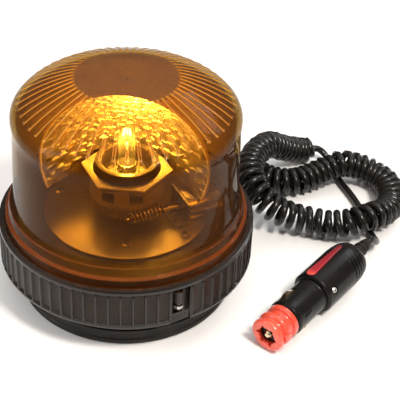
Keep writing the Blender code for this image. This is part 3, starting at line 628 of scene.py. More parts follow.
def lens_material():
    """Red stripe that is lit from its front end and fades towards the lead."""
    make = Nodes("red_lens")
    plug = plug_matrix()
    ahead = plug.to_3x3() @ Vector((0, 0, 1))
    front = (Vector(PLUG_FACE) + ahead * (LENS_FRONT - LENS_WIDE)) * MM
    coordinates = make.add("ShaderNodeTexCoord")
    offset = make.add("ShaderNodeVectorMath", operation="SUBTRACT")
    offset.inputs[1].default_value = front
    make.join(coordinates.outputs["Object"], offset.inputs[0])
    along = make.add("ShaderNodeVectorMath", operation="DOT_PRODUCT")
    length = LENS_REAR + LENS_NARROW - LENS_FRONT + LENS_WIDE
    along.inputs[1].default_value = ahead / (length * MM)
    make.join(offset.outputs["Vector"], along.inputs[0])
    make.colour(along.outputs["Value"], [(0.0, (0.86, 0.10, 0.07)), (0.16, (0.42, 0.02, 0.03)),
                                         (1.0, (0.20, 0.012, 0.02))])
    make.gloss(make.noise(300.0), 0.18, 0.3)
    make.bump(make.noise(1200.0), 0.02, 0.5)
    return make.material


def floor_material():
    make = Nodes("pale_floor")
    make.colour(make.noise(3.0), [(0.3, (0.90, 0.90, 0.90)), (0.7, (0.93, 0.93, 0.93))])
    make.shader.inputs["Roughness"].default_value = 0.7
    return make.material


def make_materials():
    return {
        "amber": amber_material("amber_plastic", 0.05, 0.82, (0.12, 0.045, 0.010), (0.040, 0.022, 0.014)),
        # the rib edges' bright orange face-on colour is a painted glint
        "amber_edge_painted_glint": amber_material("amber_rib_edge_painted_glint", 0.30, 0.50, (1.0, 0.42, 0.07), (0.12, 0.045, 0.015)),
        "amber_disc": amber_material("amber_disc", 0.34, 0.62, (0.15, 0.07, 0.03), (0.10, 0.06, 0.045)),
        # the foot steps' orange-red colour is painted glints
        "amber_step_painted_glint": amber_material("amber_step_painted_glint", 0.22, 0.60, (0.50, 0.11, 0.02), (0.26, 0.045, 0.012)),
        "housing": moulded("black_moulding", (0.018, 0.013, 0.011), (0.030, 0.022, 0.018), 0.30, coat=0.1,
                           specular=0.25),
        "ring": moulded("ribbed_ring", (0.022, 0.016, 0.013), (0.030, 0.022, 0.018), 0.26, specular=0.12),
        "ring_rib": moulded("ring_rib", (0.010, 0.007, 0.006), (0.015, 0.011, 0.009), 0.13, coat=0.15,
                            specular=0.32),
        "grip": moulded("grip_plastic", (0.006, 0.005, 0.005), (0.011, 0.009, 0.008), 0.26, depth=0.04,
                        specular=0.18),
        "rubber": moulded("black_rubber", (0.010, 0.008, 0.007), (0.020, 0.016, 0.014), 0.5, depth=0.06,
                          specular=0.2),
        "lead": moulded("lead_cover", (0.008, 0.007, 0.007), (0.014, 0.012, 0.010), 0.24, grain=1500.0,
                        specular=0.35),
        "ferrite": moulded("ferrite", (0.05, 0.05, 0.055), (0.09, 0.09, 0.095), 0.6, depth=0.08),
        "nylon": moulded("nylon", (0.20, 0.17, 0.12), (0.30, 0.26, 0.19), 0.35),
        "red": moulded("red_plastic", (0.74, 0.065, 0.035), (0.84, 0.11, 0.06), 0.22, coat=0.4),
        "steel": moulded("zinc_steel", (0.40, 0.39, 0.37), (0.62, 0.60, 0.57), 0.26, metallic=1.0,
                         stretch=(1, 1, 6)),
        "worm": moulded("worm_steel", (0.66, 0.60, 0.48), (0.86, 0.80, 0.66), 0.2, metallic=1.0),
        # dark core: painted shade in the roots of the worm's thread
        "worm_core_painted_shade": moulded("worm_core_painted_shade", (0.05, 0.035, 0.02), (0.09, 0.065, 0.04), 0.45, metallic=0.6),
        "brass": moulded("brass", (0.62, 0.48, 0.28), (0.82, 0.68, 0.46), 0.22, metallic=1.0),
        "plate": bright_material("bright_plate", (0.62, 0.60, 0.56), 0.30, 0.02),
        "mirror": dimpled_material(),
        # the rim bead's pale yellow colour is a painted highlight
        "rim": moulded("rim_bead_painted_highlight", (0.80, 0.72, 0.50), (0.90, 0.82, 0.60), 0.3, coat=0.3),
        "glass": glass_material(),
        "filament": filament_material(),
        "lens": lens_material(),
        "floor": floor_material(),
    }


# ---- camera, light and floor

def make_camera():
    camera = bpy.data.cameras.new("camera")
    camera.lens = CAMERA_LENS
    camera.sensor_width = 36.0
    holder = linked("camera", camera)
    turn = Matrix.Rotation(radians(CAMERA_PITCH), 4, "X") @ Matrix.Rotation(radians(CAMERA_TURN), 4, "Y")
    holder.matrix_world = Matrix.Translation(Vector(CAMERA_PLACE) * MM) @ turn
    bpy.context.scene.camera = holder


def add_light(name, place, aim, size, power, colour):
    light = bpy.data.lights.new(name, "AREA")
    light.shape = "RECTANGLE"
    light.size, light.size_y = size
    light.energy = power
    light.color = colour
    holder = linked(name, light)
    holder.location = place
    holder.rotation_euler = (Vector(aim) - Vector(place)).to_track_quat("-Z", "Y").to_euler()


def make_studio(materials):
    scene = bpy.context.scene
    scene.view_settings.view_transform = "Standard"
    world = bpy.data.worlds.new("studio")
    world.use_nodes = True
    tree = world.node_tree
    split = tree.nodes.new("ShaderNodeSeparateXYZ")
    tree.links.new(tree.nodes.new("ShaderNodeTexCoord").outputs["Generated"], split.inputs["Vector"])
    ramp = tree.nodes.new("ShaderNodeValToRGB")
    ramp.color_ramp.elements[0].position = 0.15
    ramp.color_ramp.elements[0].color = (0.20, 0.18, 0.17, 1.0)
    middle = ramp.color_ramp.elements.new(0.7)
    middle.color = (0.34, 0.31, 0.30, 1.0)
    ramp.color_ramp.elements[2].position = 0.95
    ramp.color_ramp.elements[2].color = (1.5, 1.47, 1.44, 1.0)
    tree.links.new(split.outputs["Z"], ramp.inputs["Fac"])
    tree.links.new(ramp.outputs["Color"], tree.nodes["Background"].inputs["Color"])
    tree.nodes["Background"].inputs["Strength"].default_value = 0.9
    scene.world = world
    add_light("key", (0.40, -0.50, 0.95), (0.03, 0.02, 0.05), (0.22, 0.22), 11.0, (1.0, 0.93, 0.84))
    add_light("side", (-0.85, -0.15, 0.50), (0.0, 0.0, 0.06), (0.25, 0.6), 5.0, (1.0, 0.97, 0.94))
    add_light("back", (0.75, 0.65, 0.9), (0.05, 0.05, 0.05), (0.6, 0.3), 3.0, (0.95, 0.96, 1.0))
    lamp = bpy.data.lights.new("lamp", "POINT")
    lamp.energy = LAMP_POWER
    lamp.color = (1.0, 0.78, 0.45)
    lamp.shadow_soft_size = 0.003
    linked("lamp", lamp).location = (0.0, 0.0, LAMP_Z * MM)
    bm = bmesh.new()
    bmesh.ops.create_grid(bm, x_segments=8, y_segments=8, size=3.0)
    floor = new_object("floor", bm, None, 0)
    floor.location.z = -FLOOR_DROP * MM
    floor.data.materials.append(materials["floor"])


# ---- lead

def make_lead(materials, pieces_on_it):
    wire = smooth_curve(LEAD_IN_ROUTE, 2.5)[:-1]
    wire += helix_along(CURLY_ROUTE)
    wire += smooth_curve(TAIL_ROUTE, 2.5)
    lead = tube("spiral_lead", wire, WIRE_RADIUS, 4)
    place_piece(lead, "base", "lead_cover", materials["lead"], "cord_lead_in", "curly_cord", "cord_tail")


# ---- dome

def arc_points(start, end, rise, steps):
    """Points between two ends on a shallow arc that rises from their chord."""
    chord = Vector(end) - Vector(start)
    normal = Vector((-chord.y, chord.x)).normalized()
    shares = [step / steps for step in range(1, steps)]
    return [tuple(Vector(start) + chord * t + normal * rise * 4 * t * (1 - t)) for t in shares]


def rib_lift(radius, offset):
    """Height of a radial rib: constant width, round across and round at both ends."""
    if radius < RIB_START:
        past = RIB_START - radius
    else:
        past = max(0.0, radius - RIB_END)
    if past >= RIB_HALF:
        return 0.0
    width = sqrt(RIB_HALF ** 2 - past ** 2)
    if abs(offset) >= width:
        return 0.0
    return RIB_HEIGHT * sqrt(1 - (offset / width) ** 2) * width / RIB_HALF


def on_rib_edge(point):
    """True on the flanks and round ends of the radial ribs."""
    radius = point.xy.length
    if not RIB_START - 1.2 < radius < RIB_END + 1.0 or point.z < CROWN_EDGE[1]:
        return False
    sector = 2 * pi / DOME_RIBS
    offset = abs((point.xy.angle_signed(Vector((1, 0))) / sector) % 1.0 - 0.5) * sector * radius
    if offset > RIB_HALF:
        return False
    return offset > 0.5 * RIB_HALF or not RIB_START + 0.6 < radius < RIB_END - 0.6


def dome_rings():
    """Each entry is (radius, height, ribbed)."""
    crown = arc_points(CROWN_EDGE, (DOME_FLAT, DOME_TOP - 0.3), -1.2, 30)
    shoulder = arc_points(SHOULDER, CROWN_EDGE, -2.2, 8)
    wall = [(SKIRT[0] + (SHOULDER[0] - SKIRT[0]) * step / 8, SKIRT[1] + (SHOULDER[1] - SKIRT[1]) * step / 8)
            for step in range(9)]
    foot = rounded([(62.9, 42.0), (67.8, 42.0), (67.8, 43.8), (66.3, 44.0), (66.2, 49.8), (64.6, 50.5),
                    (63.8, 55.8), (61.9, 56.3)], 0.35, 2)[:-3]
    outer = [(r, z, False) for r, z in foot + wall + shoulder + [CROWN_EDGE]]
    outer += [(r, z, True) for r, z in crown]
    top = [(DOME_FLAT, DOME_TOP - 0.3), (26.9, DOME_TOP - 0.05), (25.5, DOME_TOP), (16.0, DOME_TOP),
           (8.0, DOME_TOP), (3.0, DOME_TOP), (2.6, DOME_TOP - 0.35), (1.8, DOME_TOP - 0.35), (1.4, DOME_TOP)]
    outer += [(r, z, False) for r, z in top] + [(0.4, DOME_TOP, False)]
    flat = (DOME_FLAT - 1.0, DOME_TOP - DOME_WALL)
    edge = (CROWN_EDGE[0] - 2.0, CROWN_EDGE[1] - DOME_WALL)
    bend = (SHOULDER[0] - 2.5, SHOULDER[1] - 0.4)
    inner = [(0.4, flat[1]), flat, *arc_points(flat, edge, 1.2, 8), edge]
    inner += [*arc_points(edge, bend, 1.6, 5), bend, (SKIRT[0] - 2.5, SKIRT[1]), (62.3, 49.5)]
    return outer + [(r, z, False) for r, z in inner]


def on_foot_step(face):
    """True on the sloping and rounded faces of the stepped foot."""
    if face.center.z > FOOT_TOP * MM or face.center.xy.length < FOOT_RADIUS * MM:
        return False
    return 0.2 < abs(face.normal.z) < 0.97


def make_dome(materials):
    offsets = [-0.95, -0.88, -0.66, -0.36, 0.0, 0.36, 0.66, 0.88, 0.95]
    rings = []
    for radius, height, ribbed in dome_rings():
        ring = []
        spread = max(DOME_FLAT, min(radius, CROWN_EDGE[0]))
        half_sector = pi / DOME_RIBS
        for rib in range(DOME_RIBS):
            middle = 2 * half_sector * (rib + 0.5)
            for offset in offsets:
                angle = middle + offset / spread
                lift = rib_lift(radius, offset) if ribbed else 0.0
                ring.append(on_circle(radius, angle, height + lift))
            gap = half_sector - offsets[-1] / spread
            for share in (0.5, 1.0, 1.5):
                angle = middle + offsets[-1] / spread + gap * share
                ring.append(on_circle(radius, angle, height))
        rings.append(ring)
    dome = ring_surface("dome_shell", rings, 50)
    place_piece(dome, "cover", "amber_lens", materials["amber"], "amber_dome")
    for finish in ("amber_edge_painted_glint", "amber_step_painted_glint", "amber_disc"):
        dome.data.materials.append(materials[finish])
    for face in dome.data.polygons:
        # the rib flanks and ends take the painted glint colour
        if on_rib_edge(face.center / MM):
            face.material_index = 1
        # the foot's sloping steps take the painted glint colour
        elif on_foot_step(face):
            face.material_index = 2
        elif face.center.z > (DOME_TOP - 0.6) * MM and face.center.xy.length < DOME_FLAT * MM:
            face.material_index = 3


# ---- ring and base

def make_ring(materials):
    """Clamping ring with flat panels between upright ribs: (radius, height, share of the ribs' full size)."""
    offsets = [-0.75, -0.6, -0.3, 0.0, 0.3, 0.6, 0.75]
    profile = [(RING_INNER, RING_BOTTOM, 0), (69.6, RING_BOTTOM, 0), (70.2, 20.7, 0), (RING_OUTER, 21.1, 0),
               (RING_OUTER, 22.2, 0), (RING_PANEL, 22.8, 1)]
    profile += [(RING_PANEL, 22.8 + 18.4 * step / 6, 1) for step in range(1, 7)]
    profile += [(RING_PANEL, 41.6, 0.75), (RING_PANEL, 41.9, 0.4)]
    lip = [(69.4, 42.2), (69.9, 42.7), (70.2, 43.2), (70.2, 44.2), (69.9, 44.8), (69.3, RING_TOP),
           (67.0, RING_TOP), (66.7, 44.7), (66.7, 44.3), (RING_INNER, 44.3)]
    profile += [(radius, height, 0) for radius, height in lip]
    rings = []
    for radius, height, share in profile:
        ring = []
        half_sector = pi / RING_RIBS
        for rib in range(RING_RIBS):
            middle = 2 * half_sector * (rib + 0.5)
            for offset in offsets:
                swell = sqrt(1 - (offset / RING_RIB_HALF) ** 2) * (RING_OUTER - RING_PANEL) * share
                angle = middle + offset / RING_OUTER
                ring.append(on_circle(radius + swell, angle, height))
            gap = 2 * half_sector - 2 * offsets[-1] / RING_OUTER
            for step in (1, 2, 3):
                angle = middle + offsets[-1] / RING_OUTER + gap * step / 4
                ring.append(on_circle(radius, angle, height))
        rings.append(ring)
    ring = ring_surface("clamp_ring", rings, 40)
    half = NOTCH_WIDTH / 2
    notch = block((60, -half, RING_BOTTOM - 1), (75, half, NOTCH_TOP), at(0, 0, 0, LOCK_AZIMUTH))
    combine(ring, notch, "DIFFERENCE")
    place_piece(ring, "cover", "black_plastic", materials["ring"], "retaining_ring")
    ring.data.materials.append(materials["ring_rib"])
    for face in ring.data.polygons:
        if face.center.xy.length > (RING_PANEL + 0.2) * MM:
            face.material_index = 1


def make_base(materials):
    boot = turned("foot_boot", [
        (0, 0), (BOOT_RADIUS - 1, 0), (BOOT_RADIUS, 0.8), (BOOT_RADIUS, 3.0), (BOOT_RADIUS - 0.7, 3.6),
        (BOOT_RADIUS - 0.7, 7.2), (BOOT_RADIUS, 7.8), (BOOT_RADIUS, BOOT_TOP), (BOOT_RADIUS - 2.6, BOOT_TOP),
        (BOOT_RADIUS - 2.6, 1.5), (0, 1.5)], 144, corner=0.5)
    place_piece(boot, "base", "black_rubber", materials["rubber"], "rubber_boot")
    magnet = turned("ferrite_ring", band(24, 56.6, 1.8, 7.8), 96, corner=0.6)
    place_piece(magnet, "base", "ferrite", materials["ferrite"], "ring_magnet")
    plate = turned("backing_plate", band(3.2, 56.9, 8.1, BOOT_TOP), 96, corner=0.2)
    place_piece(plate, "base", "steel", materials["steel"], "steel_plate")
    housing = turned("housing_shell", [
        (3.2, 10.3), (60, 10.3), (60, 20), (66.3, 22.5), (66.3, 40), (63.5, 40), (63.5, 29.7), (60, 29.7),
        (60, 24.5), (57.5, 21), (57.5, 12.5), (3.2, 12.5)], 144, corner=0.5)
    lock = at(*polar(LOCK_RADIUS, LOCK_AZIMUTH))
    combine(housing, rod(3.1, 23.4, 31.2, lock), "DIFFERENCE")      # room for the lock screw's head
    combine(housing, rod(2.4, 32.0, 39.6, lock), "UNION")           # its boss
    combine(housing, rod(1.75, 30.0, 43.0, lock), "DIFFERENCE")     # and its hole
    combine(housing, rod(3.3, GLAND_START - 0.1, 63.0, gland_matrix()), "DIFFERENCE")
    place_piece(housing, "base", "black_plastic", materials["housing"], "base_housing")
    seal = turned("dome_gasket", band(63.2, 66.1, 40.3, 41.7), 144, corner=0.5)
    place_piece(seal, "base", "black_rubber", materials["rubber"], "dome_seal")


def drill(piece, places, radius):
    """Upright holes through the deck or the plate."""
    for x, y in places:
        combine(piece, rod(radius, DECK_BOTTOM - 1.5, PLATE_TOP + 0.7, at(x, y)), "DIFFERENCE")


def make_deck(materials):
    bracket_screws = [bracket_place(across) for across in (-BRACKET_SCREW_ACROSS, BRACKET_SCREW_ACROSS)]
    deck = turned("deck_moulding", [
        (DECK_BORE, DECK_BOTTOM), (60.3, DECK_BOTTOM), (60.3, 30), (62.4, 30), (62.4, DECK_TOP),
        (DECK_BORE, DECK_TOP)], 144, corner=0.4)
    drill(deck, PLATE_SCREWS, PLATE_SCREW_HOLE)
    drill(deck, bracket_screws, BRACKET_SCREW_HOLE)
    drill(deck, [LEAD_HOLE_PLACE], LEAD_HOLE)
    place_piece(deck, "base", "black_plastic", materials["housing"], "base_deck", "deck_skirt")
    plate = turned("bright_disc", band(5.2, PLATE_RADIUS, PLATE_BOTTOM, PLATE_TOP), 144, corner=0.25)
    drill(plate, PLATE_SCREWS, PLATE_SCREW_HOLE)
    drill(plate, bracket_screws, BRACKET_SCREW_HOLE)
    drill(plate, [SPARE_HOLE_PLACE], SPARE_HOLE)
    mark = rod(PLATE_MARK, PLATE_TOP - 0.15, PLATE_TOP + 0.7, at(*PLATE_MARK_PLACE))
    combine(plate, mark, "DIFFERENCE")
    place_piece(plate, "base", "bright_metal", materials["plate"], "chassis_plate")


def bracket_place(across):
    """Where one of the motor bracket's screws stands on the deck."""
    x, y, z = worm_matrix() @ Vector((0, across, BRACKET_SCREW_ALONG))
    return x, y


# ---- rotor

def make_reflector(materials):
    """Parabolic bowl with a beaded rim, cut away below for the lamp holder."""
    rings = 15
    sides = 60
    turn = at(0, 0, 0, ROTOR_TURN)
    bm = bmesh.new()
    shells = []
    for offset in (0.0, DISH_WALL):
        shell = [add_points(bm, [(0, DISH_VERTEX + offset, DISH_CENTRE)])]
        for ring in range(1, rings + 1):
            radius = DISH_RIM * ring / rings
            y = DISH_VERTEX + offset - radius ** 2 / (4 * DISH_FOCUS)
            row = []
            for step in range(sides):
                angle = 2 * pi * step / sides
                row.append((radius * cos(angle), y, DISH_CENTRE + radius * sin(angle)))
            shell.append(add_points(bm, row))
        shells.append(shell)
    skin(bm, shells[0] + shells[1][::-1], closed=False)
    dish = new_object("reflector_dish", bm, turn, 0)
    right = [(60, 20), (60, DISH_WING_FOOT - 4), (42, DISH_WING_FOOT), (DISH_WING_INNER, DISH_WING_ROOT),
             (DISH_WING_INNER, DISH_FOOT)]
    below = right + [(-x, z) for x, z in reversed(right)]
    upright = turn @ Matrix.Rotation(pi / 2, 4, "X")
    combine(dish, prism("cutter", below, -40, 40, upright), "DIFFERENCE", 30)
    for side in (-1, 1):
        x = side * DISH_SCREW_X
        foot = block((x - 2.4, 15.6, DISH_FOOT), (x + 2.4, 20.9, DISH_FOOT + 1.0), turn)
        combine(dish, foot, "UNION", 30)
        hole = rod(DISH_SCREW_HOLE, DISH_FOOT - 2, DISH_FOOT + 3, turn @ at(x, DISH_SCREW_Y), 16)
        combine(dish, hole, "DIFFERENCE", 30)
    place_piece(dish, "rotor", "bright_metal", materials["mirror"], "reflector")
    low = asin((DISH_CENTRE - DISH_WING_FOOT) / DISH_RIM)
    depth = DISH_VERTEX + DISH_WALL / 2 - DISH_RIM ** 2 / (4 * DISH_FOCUS)
    bead = []
    for step in range(73):
        angle = -low + (pi + 2 * low) * step / 72
        bead.append(turn @ Vector((DISH_RIM * cos(angle), depth, DISH_CENTRE + DISH_RIM * sin(angle))))
    # the bead's pale colour is a painted highlight along the rim
    place_piece(tube("reflector_bead", bead, 0.75, 3), "rotor", "bright_metal", materials["rim"], "reflector")


def make_rotor(materials):
    turn = at(0, 0, 0, ROTOR_TURN)
    inner = DRUM_RADIUS - 1.8
    floor = DRUM_BOTTOM + 1.4
    drum = turned("drum_body", [
        (8.2, DRUM_BOTTOM), (DRUM_RADIUS, DRUM_BOTTOM), (DRUM_RADIUS, DRUM_TOP), (inner, DRUM_TOP),
        (inner, floor), (8.2, floor)], 96, corner=0.3)
    window = block((-11, -22, DRUM_BOTTOM + 3.7), (11, -10, DRUM_TOP - 2.1), turn)
    combine(drum, window, "DIFFERENCE")
    place_piece(drum, "rotor", "nylon", materials["nylon"], "rotor_drum")
    latch = block((-4.0, -21.6, 62.0), (4.0, -18.2, 72.4), turn, "drum_latch", 0.4)
    place_piece(latch, "rotor", "nylon", materials["nylon"])
    latch_lip = block((-11.5, -20.9, 70.4), (11.5, -18.4, 71.6), turn, "latch_bar", 0.3)
    place_piece(latch_lip, "rotor", "nylon", materials["nylon"])
    hexagon = [polar(CARRIER_CORNER, ROTOR_TURN + 60 * step) for step in range(6)]
    carrier = prism("carrier_disc", hexagon, CARRIER_BOTTOM, CARRIER_TOP, bevel=0.25)
    combine(carrier, rod(CARRIER_BORE, CARRIER_BOTTOM - 1, CARRIER_TOP + 1, None, 96), "DIFFERENCE")
    for side in (-1, 1):
        place = turn @ at(side * DISH_SCREW_X, DISH_SCREW_Y)
        hole = rod(DISH_SCREW_HOLE, CARRIER_BOTTOM - 1, CARRIER_TOP + 1, place, 16)
        combine(carrier, hole, "DIFFERENCE")
    place_piece(carrier, "rotor", "bright_metal", materials["plate"], "carrier_plate")


def make_worm(materials):
    """A core coloured dark as painted shade in the thread's roots, and a bright thread ridge swept round it
    and closed at both ends.
    """
    core = turned("worm_screw", band(1.4, WORM_ROOT, WORM_START, WORM_END), 28, worm_matrix())
    section = [(WORM_ROOT - 0.25, -0.60), (WORM_TIP - 0.1, -0.30), (WORM_TIP, -0.16), (WORM_TIP, 0.16),
               (WORM_TIP - 0.1, 0.30), (WORM_ROOT - 0.25, 0.60)]
    first = ceil((WORM_START + 1.0) / WORM_PITCH * WORM_STEPS)
    last = int((WORM_END - 1.0) / WORM_PITCH * WORM_STEPS)
    bm = bmesh.new()
    rows = []
    for step in range(first, last + 1):
        angle = pi / 2 + 2 * pi * step / WORM_STEPS
        rise = WORM_PITCH * step / WORM_STEPS
        rows.append(add_points(bm, [on_circle(radius, angle, rise + along) for radius, along in section]))
    skin(bm, rows, closed=False)
    bm.faces.new(rows[0])
    bm.faces.new(rows[-1])
    thread = new_object("worm_thread", bm, worm_matrix())
    place_piece(core, "worm_drive", "steel", materials["worm_core_painted_shade"], "worm")
    place_piece(thread, "worm_drive", "steel", materials["worm"], "worm")


# ---- lamp and motor

def make_lamp(materials):
    holder = turned("lamp_cup", [
        (5.4, 66.3), (16.2, 66.3), (HOLDER_RADIUS, 67.3), (HOLDER_RADIUS, HOLDER_TOP), (13.8, HOLDER_TOP),
        (13.8, 71), (5.4, 71)], 96, corner=0.35)
    place_piece(holder, "base", "black_plastic", materials["housing"], "lamp_holder")
    bulb = turned("bulb_envelope", [
        (0, BULB_FOOT), (BULB_RADIUS, BULB_FOOT), (BULB_RADIUS, 94.0), (4.35, 95.6), (3.7, 97.1), (2.5, 98.3),
        (1.2, 98.9), (0, 99.0)], 48)
    place_piece(bulb, "base", "bulb_glass", materials["glass"], "bulb_glass")
    make_filament(materials)
    cap = turned("bulb_cap", [
        (0, 66.6), (BULB_RADIUS, 66.6), (BULB_RADIUS, 71.3), (10.5, 71.3), (10.5, 72.6), (5.2, 72.6),
        (5.2, 77.0), (0, 77.0)], 64, corner=0.3)
    place_piece(cap, "base", "steel", materials["steel"], "bulb_base")
    post = turned("lamp_column", [
        (4.5, 47.6), (11, 47.6), (11, 49.2), (7, 49.2), (7, 66), (4.5, 66)], 64, corner=0.3)
    place_piece(post, "base", "steel", materials["steel"], "lamp_post")


def make_filament(materials):
    """Coiled wire between two posts, as one wire."""
    steps = 56
    coil = []
    for step in range(steps + 1):
        angle = pi / 4 * step
        along = 2 * FILAMENT_HALF * step / steps - FILAMENT_HALF
        coil.append((FILAMENT_RADIUS * cos(angle), along, FILAMENT_Z + FILAMENT_RADIUS * sin(angle)))
    foot = FILAMENT_HALF + 0.2
    wire = [(-0.6, -foot, BULB_FOOT + 0.5), *coil, (-0.6, foot, BULB_FOOT + 0.5)]
    place_piece(tube("bulb_filament", wire, 0.22, 1), "base", "steel", materials["filament"])


def make_motor(materials):
    along_worm = worm_matrix()
    outline = []
    for centre, start in ((MOTOR_CENTRE, 0), (-MOTOR_CENTRE, 180)):
        for step in range(17):
            angle = radians(start + 180 * step / 16)
            outline.append((MOTOR_RADIUS * cos(angle), centre + MOTOR_RADIUS * sin(angle)))
    can = prism("motor_body", outline, MOTOR_START, MOTOR_END, along_worm, 40, 0.6)
    combine(can, rod(1.8, MOTOR_START - 1.2, MOTOR_START + 4.8, along_worm), "DIFFERENCE")
    place_piece(can, "base", "steel", materials["steel"], "motor_can")


# ---- plug and gland

def make_gland(materials):
    relief = [(0, GLAND_START), (3.6, GLAND_START), (3.6, 56.7), (2.9, 56.7), (2.9, 60.5), (3.7, 60.5),
              (3.7, 62.6), (3.3, 63.2)]
    for ring in range(4):
        start = 64.0 + 3.4 * ring
        radius = 3.3 - 0.16 * ring
        relief += [(radius, start), (radius, start + 1.8)]
        relief += [(radius - 0.45, start + 2.2), (radius - 0.45, start + 3.0)]
    relief += [(2.6, GLAND_END), (0, GLAND_END)]
    gland = turned("lead_gland", relief, 48, gland_matrix(), 0.15)
    place_piece(gland, "base", "black_rubber", materials["rubber"], "cable_gland")
    return gland


def make_adapter(materials):
    """Red sleeve with three flanges; notches round the lip show its six inner ribs."""
    profile = [
        (ADAPTER_LIP, 0.2), (5.6, 0.0), (8.4, 0.0), (9.4, 0.4), (9.8, 1.2), (9.8, 2.2), (9.4, 3.2),
        (8.3, 4.0), (8.0, 4.7), (8.2, 5.4), (9.5, 6.0), (10.1, 6.8), (10.1, 8.2), (9.6, 9.1), (8.6, 9.8),
        (8.3, 10.3), (8.3, 12.3), (8.6, 12.9), (9.8, 13.1), (9.8, ADAPTER_END),
        (ADAPTER_BORE, ADAPTER_END), (ADAPTER_BORE, 2.4), (ADAPTER_LIP, 2.4)]
    adapter = turned("adapter_sleeve", profile, 96, plug_matrix(), 0.4)
    for step in range(6):
        x, y = polar(ADAPTER_LIP + 0.3, 60 * step + 3)
        combine(adapter, rod(1.1, -1.0, 2.7, plug_matrix() @ at(x, y), 24), "DIFFERENCE")
    lug = block((7.8, -2.0, 3.6), (11.0, 2.0, 8.6), round_plug(85), "cutter", 0.5)
    combine(adapter, lug, "UNION")
    place_piece(adapter, "adapter", "red_plastic", materials["red"], "red_adapter")
    return adapter


def make_nose(materials):
    profile = [
        (2.6, 3.0), (TIP_RADIUS - 0.5, 3.0), (TIP_RADIUS, 3.6), (TIP_RADIUS, NOSE_START), (9.6, NOSE_START),
        (NOSE_RADIUS, NOSE_START + 1.2), (NOSE_RADIUS, NOSE_START + 3.1),
        (NOSE_RADIUS - 0.3, NOSE_START + 3.4), (NOSE_RADIUS - 0.3, NOSE_END - 1.0),
        (NOSE_RADIUS, NOSE_END - 0.6), (NOSE_RADIUS, NOSE_END), (0, NOSE_END),
        (0, NOSE_START - 0.7), (2.6, NOSE_START - 0.7)]
    nose = turned("nose_body", profile, 96, plug_matrix(), 0.2)
    for angle in CONTACT_ANGLES:
        slot = block((6.9, -1.9, SLOT_START), (13.0, 1.9, SLOT_END), round_plug(angle))
        combine(nose, slot, "DIFFERENCE")
    place_piece(nose, "base", "black_plastic", materials["grip"], "plug_nose")
    pieces = [nose]
    for label, angle in BUMP_ANGLES.items():
        bm = bmesh.new()
        bmesh.ops.create_uvsphere(bm, u_segments=24, v_segments=12, radius=MM)
        bm.transform(Matrix.Diagonal((0.9, 1.7, 3.6, 1.0)))
        bump = new_object("nose_bump_" + label, bm, round_plug(angle) @ at(10.0, 0, BUMP_W))
        place_piece(bump, "base", "black_plastic", materials["grip"])
        pieces.append(bump)
    return pieces


def grip_arc(w, start, end, radius, thick):
    """Rod bent part of the way round the grip, as a mesh that cuts a groove."""
    along_plug = plug_matrix()
    points = []
    for step in range(25):
        angle = radians(90 + start + (end - start) * step / 24)
        points.append(along_plug @ on_circle(radius, angle, w))
    arc = tube("cutter", points, thick, 2)
    mesh = as_mesh(arc)
    bpy.data.objects.remove(arc)
    return linked("cutter", mesh)


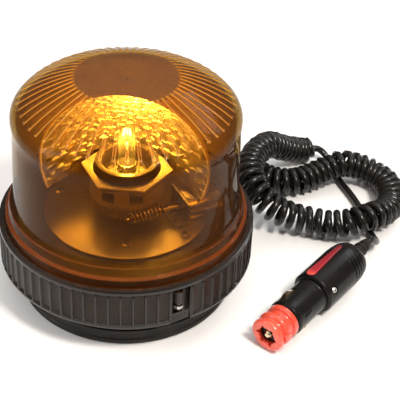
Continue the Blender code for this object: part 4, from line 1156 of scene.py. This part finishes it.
def make_grip(materials):
    profile = [
        (0, GRIP_START), (GRIP_RADIUS - 1.1, GRIP_START), (GRIP_RADIUS, GRIP_START + 0.9),
        (GRIP_RADIUS, GRIP_END - 13), (12.2, GRIP_END - 8), (11.4, GRIP_END - 3.8), (10.1, GRIP_END - 1.2),
        (8.2, GRIP_END), (0, GRIP_END)]
    grip = turned("grip_body", profile, 96, plug_matrix(), 0.6)
    side = Matrix(((0, 0, 1, 0), (0, 1, 0, 0), (-1, 0, 0, 0), (0, 0, 0, 1)))
    outwards = round_plug(LENS_ANGLE) @ side
    recess = prism("cutter", lens_outline(0.15), GRIP_RADIUS - 1.6, GRIP_RADIUS + 3, outwards)
    combine(grip, recess, "DIFFERENCE")
    radial = round_plug(PLUG_SCREW_ANGLE) @ at(GRIP_RADIUS - 1.3, 0, PLUG_SCREW_W) @ ALONG_X
    combine(grip, rod(2.3, -0.3, 6, radial), "DIFFERENCE")
    combine(grip, rod(1.2, -7, 1, radial), "DIFFERENCE")
    for ridge in range(RIDGES):
        w = GRIP_END - 14.5 + RIDGE_STEP * ridge
        hidden = 0.25 + 0.42 * max(0, ridge - 2)
        combine(grip, grip_arc(w, 28, 118, GRIP_RADIUS - hidden, 0.55), "DIFFERENCE")
    place_piece(grip, "base", "black_plastic", materials["grip"], "plug_grip")
    lens = prism("stripe_lens", lens_outline(0.0), GRIP_RADIUS - 1.3, GRIP_RADIUS + 0.35, outwards, 40, 0.3)
    place_piece(lens, "base", "red_lens", materials["lens"], "indicator_lens")
    relief = [(0, GRIP_END + 0.3), (5.2, GRIP_END + 0.3), (5.2, GRIP_END + 2.2)]
    for ring in range(3):
        start = GRIP_END + 2.6 + 3.6 * ring
        radius = 4.9 - 0.6 * ring
        relief += [(radius - 0.6, start), (radius - 0.6, start + 1.0)]
        relief += [(radius, start + 1.3), (radius - 0.1, start + 2.6)]
    relief += [(2.9, RELIEF_END - 0.4), (2.8, RELIEF_END), (0, RELIEF_END)]
    sleeve = turned("plug_sleeve", relief, 48, plug_matrix(), 0.15)
    place_piece(sleeve, "base", "black_rubber", materials["rubber"], "plug_strain_relief")
    return [grip, lens, sleeve]


def lens_outline(margin):
    """Teardrop along the grip, as (-w, across): wide and round at the front, narrow at the rear."""
    wide = LENS_WIDE + margin
    narrow = LENS_NARROW + margin
    front = [(LENS_FRONT - wide * sin(radians(a)), wide * cos(radians(a))) for a in range(0, 181, 10)]
    rear = [(LENS_REAR + narrow * sin(radians(a)), -narrow * cos(radians(a))) for a in range(0, 181, 15)]
    return [(-w, across) for w, across in front + rear]


# ---- CAD nodes that stay

def finish_kept_nodes(materials):
    finishes = {
        "steel": ["magnet_bolt", "magnet_nut", "plate_screw_front", "plate_screw_right", "plate_screw_left",
                  "lock_screw", "motor_shaft", "motor_bracket", "bracket_screw_front", "bracket_screw_rear",
                  "bulb_clip", "reflector_screw_left", "reflector_screw_right", "plug_screw",
                  "contact_spring"],
        "nylon": ["worm_wheel", "thrust_washer"],
        "housing": ["motor_end_cap"],
        "brass": ["lamp_contact", "motor_terminal_minus", "motor_terminal_plus", "centre_contact",
                  "side_contact_left", "side_contact_right"],
        "lead": ["lamp_lead", "motor_lead"],
    }
    for finish, names in finishes.items():
        for name in names:
            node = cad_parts[name]
            node.data.materials.clear()
            node.data.materials.append(materials[finish])


def main():
    make_camera()
    materials = make_materials()
    plug_pieces = [make_adapter(materials), *make_nose(materials), *make_grip(materials)]
    make_lead(materials, [make_gland(materials), *plug_pieces])
    make_studio(materials)
    make_dome(materials)
    make_ring(materials)
    make_base(materials)
    make_deck(materials)
    make_reflector(materials)
    make_rotor(materials)
    make_worm(materials)
    make_lamp(materials)
    make_motor(materials)
    finish_kept_nodes(materials)


main()
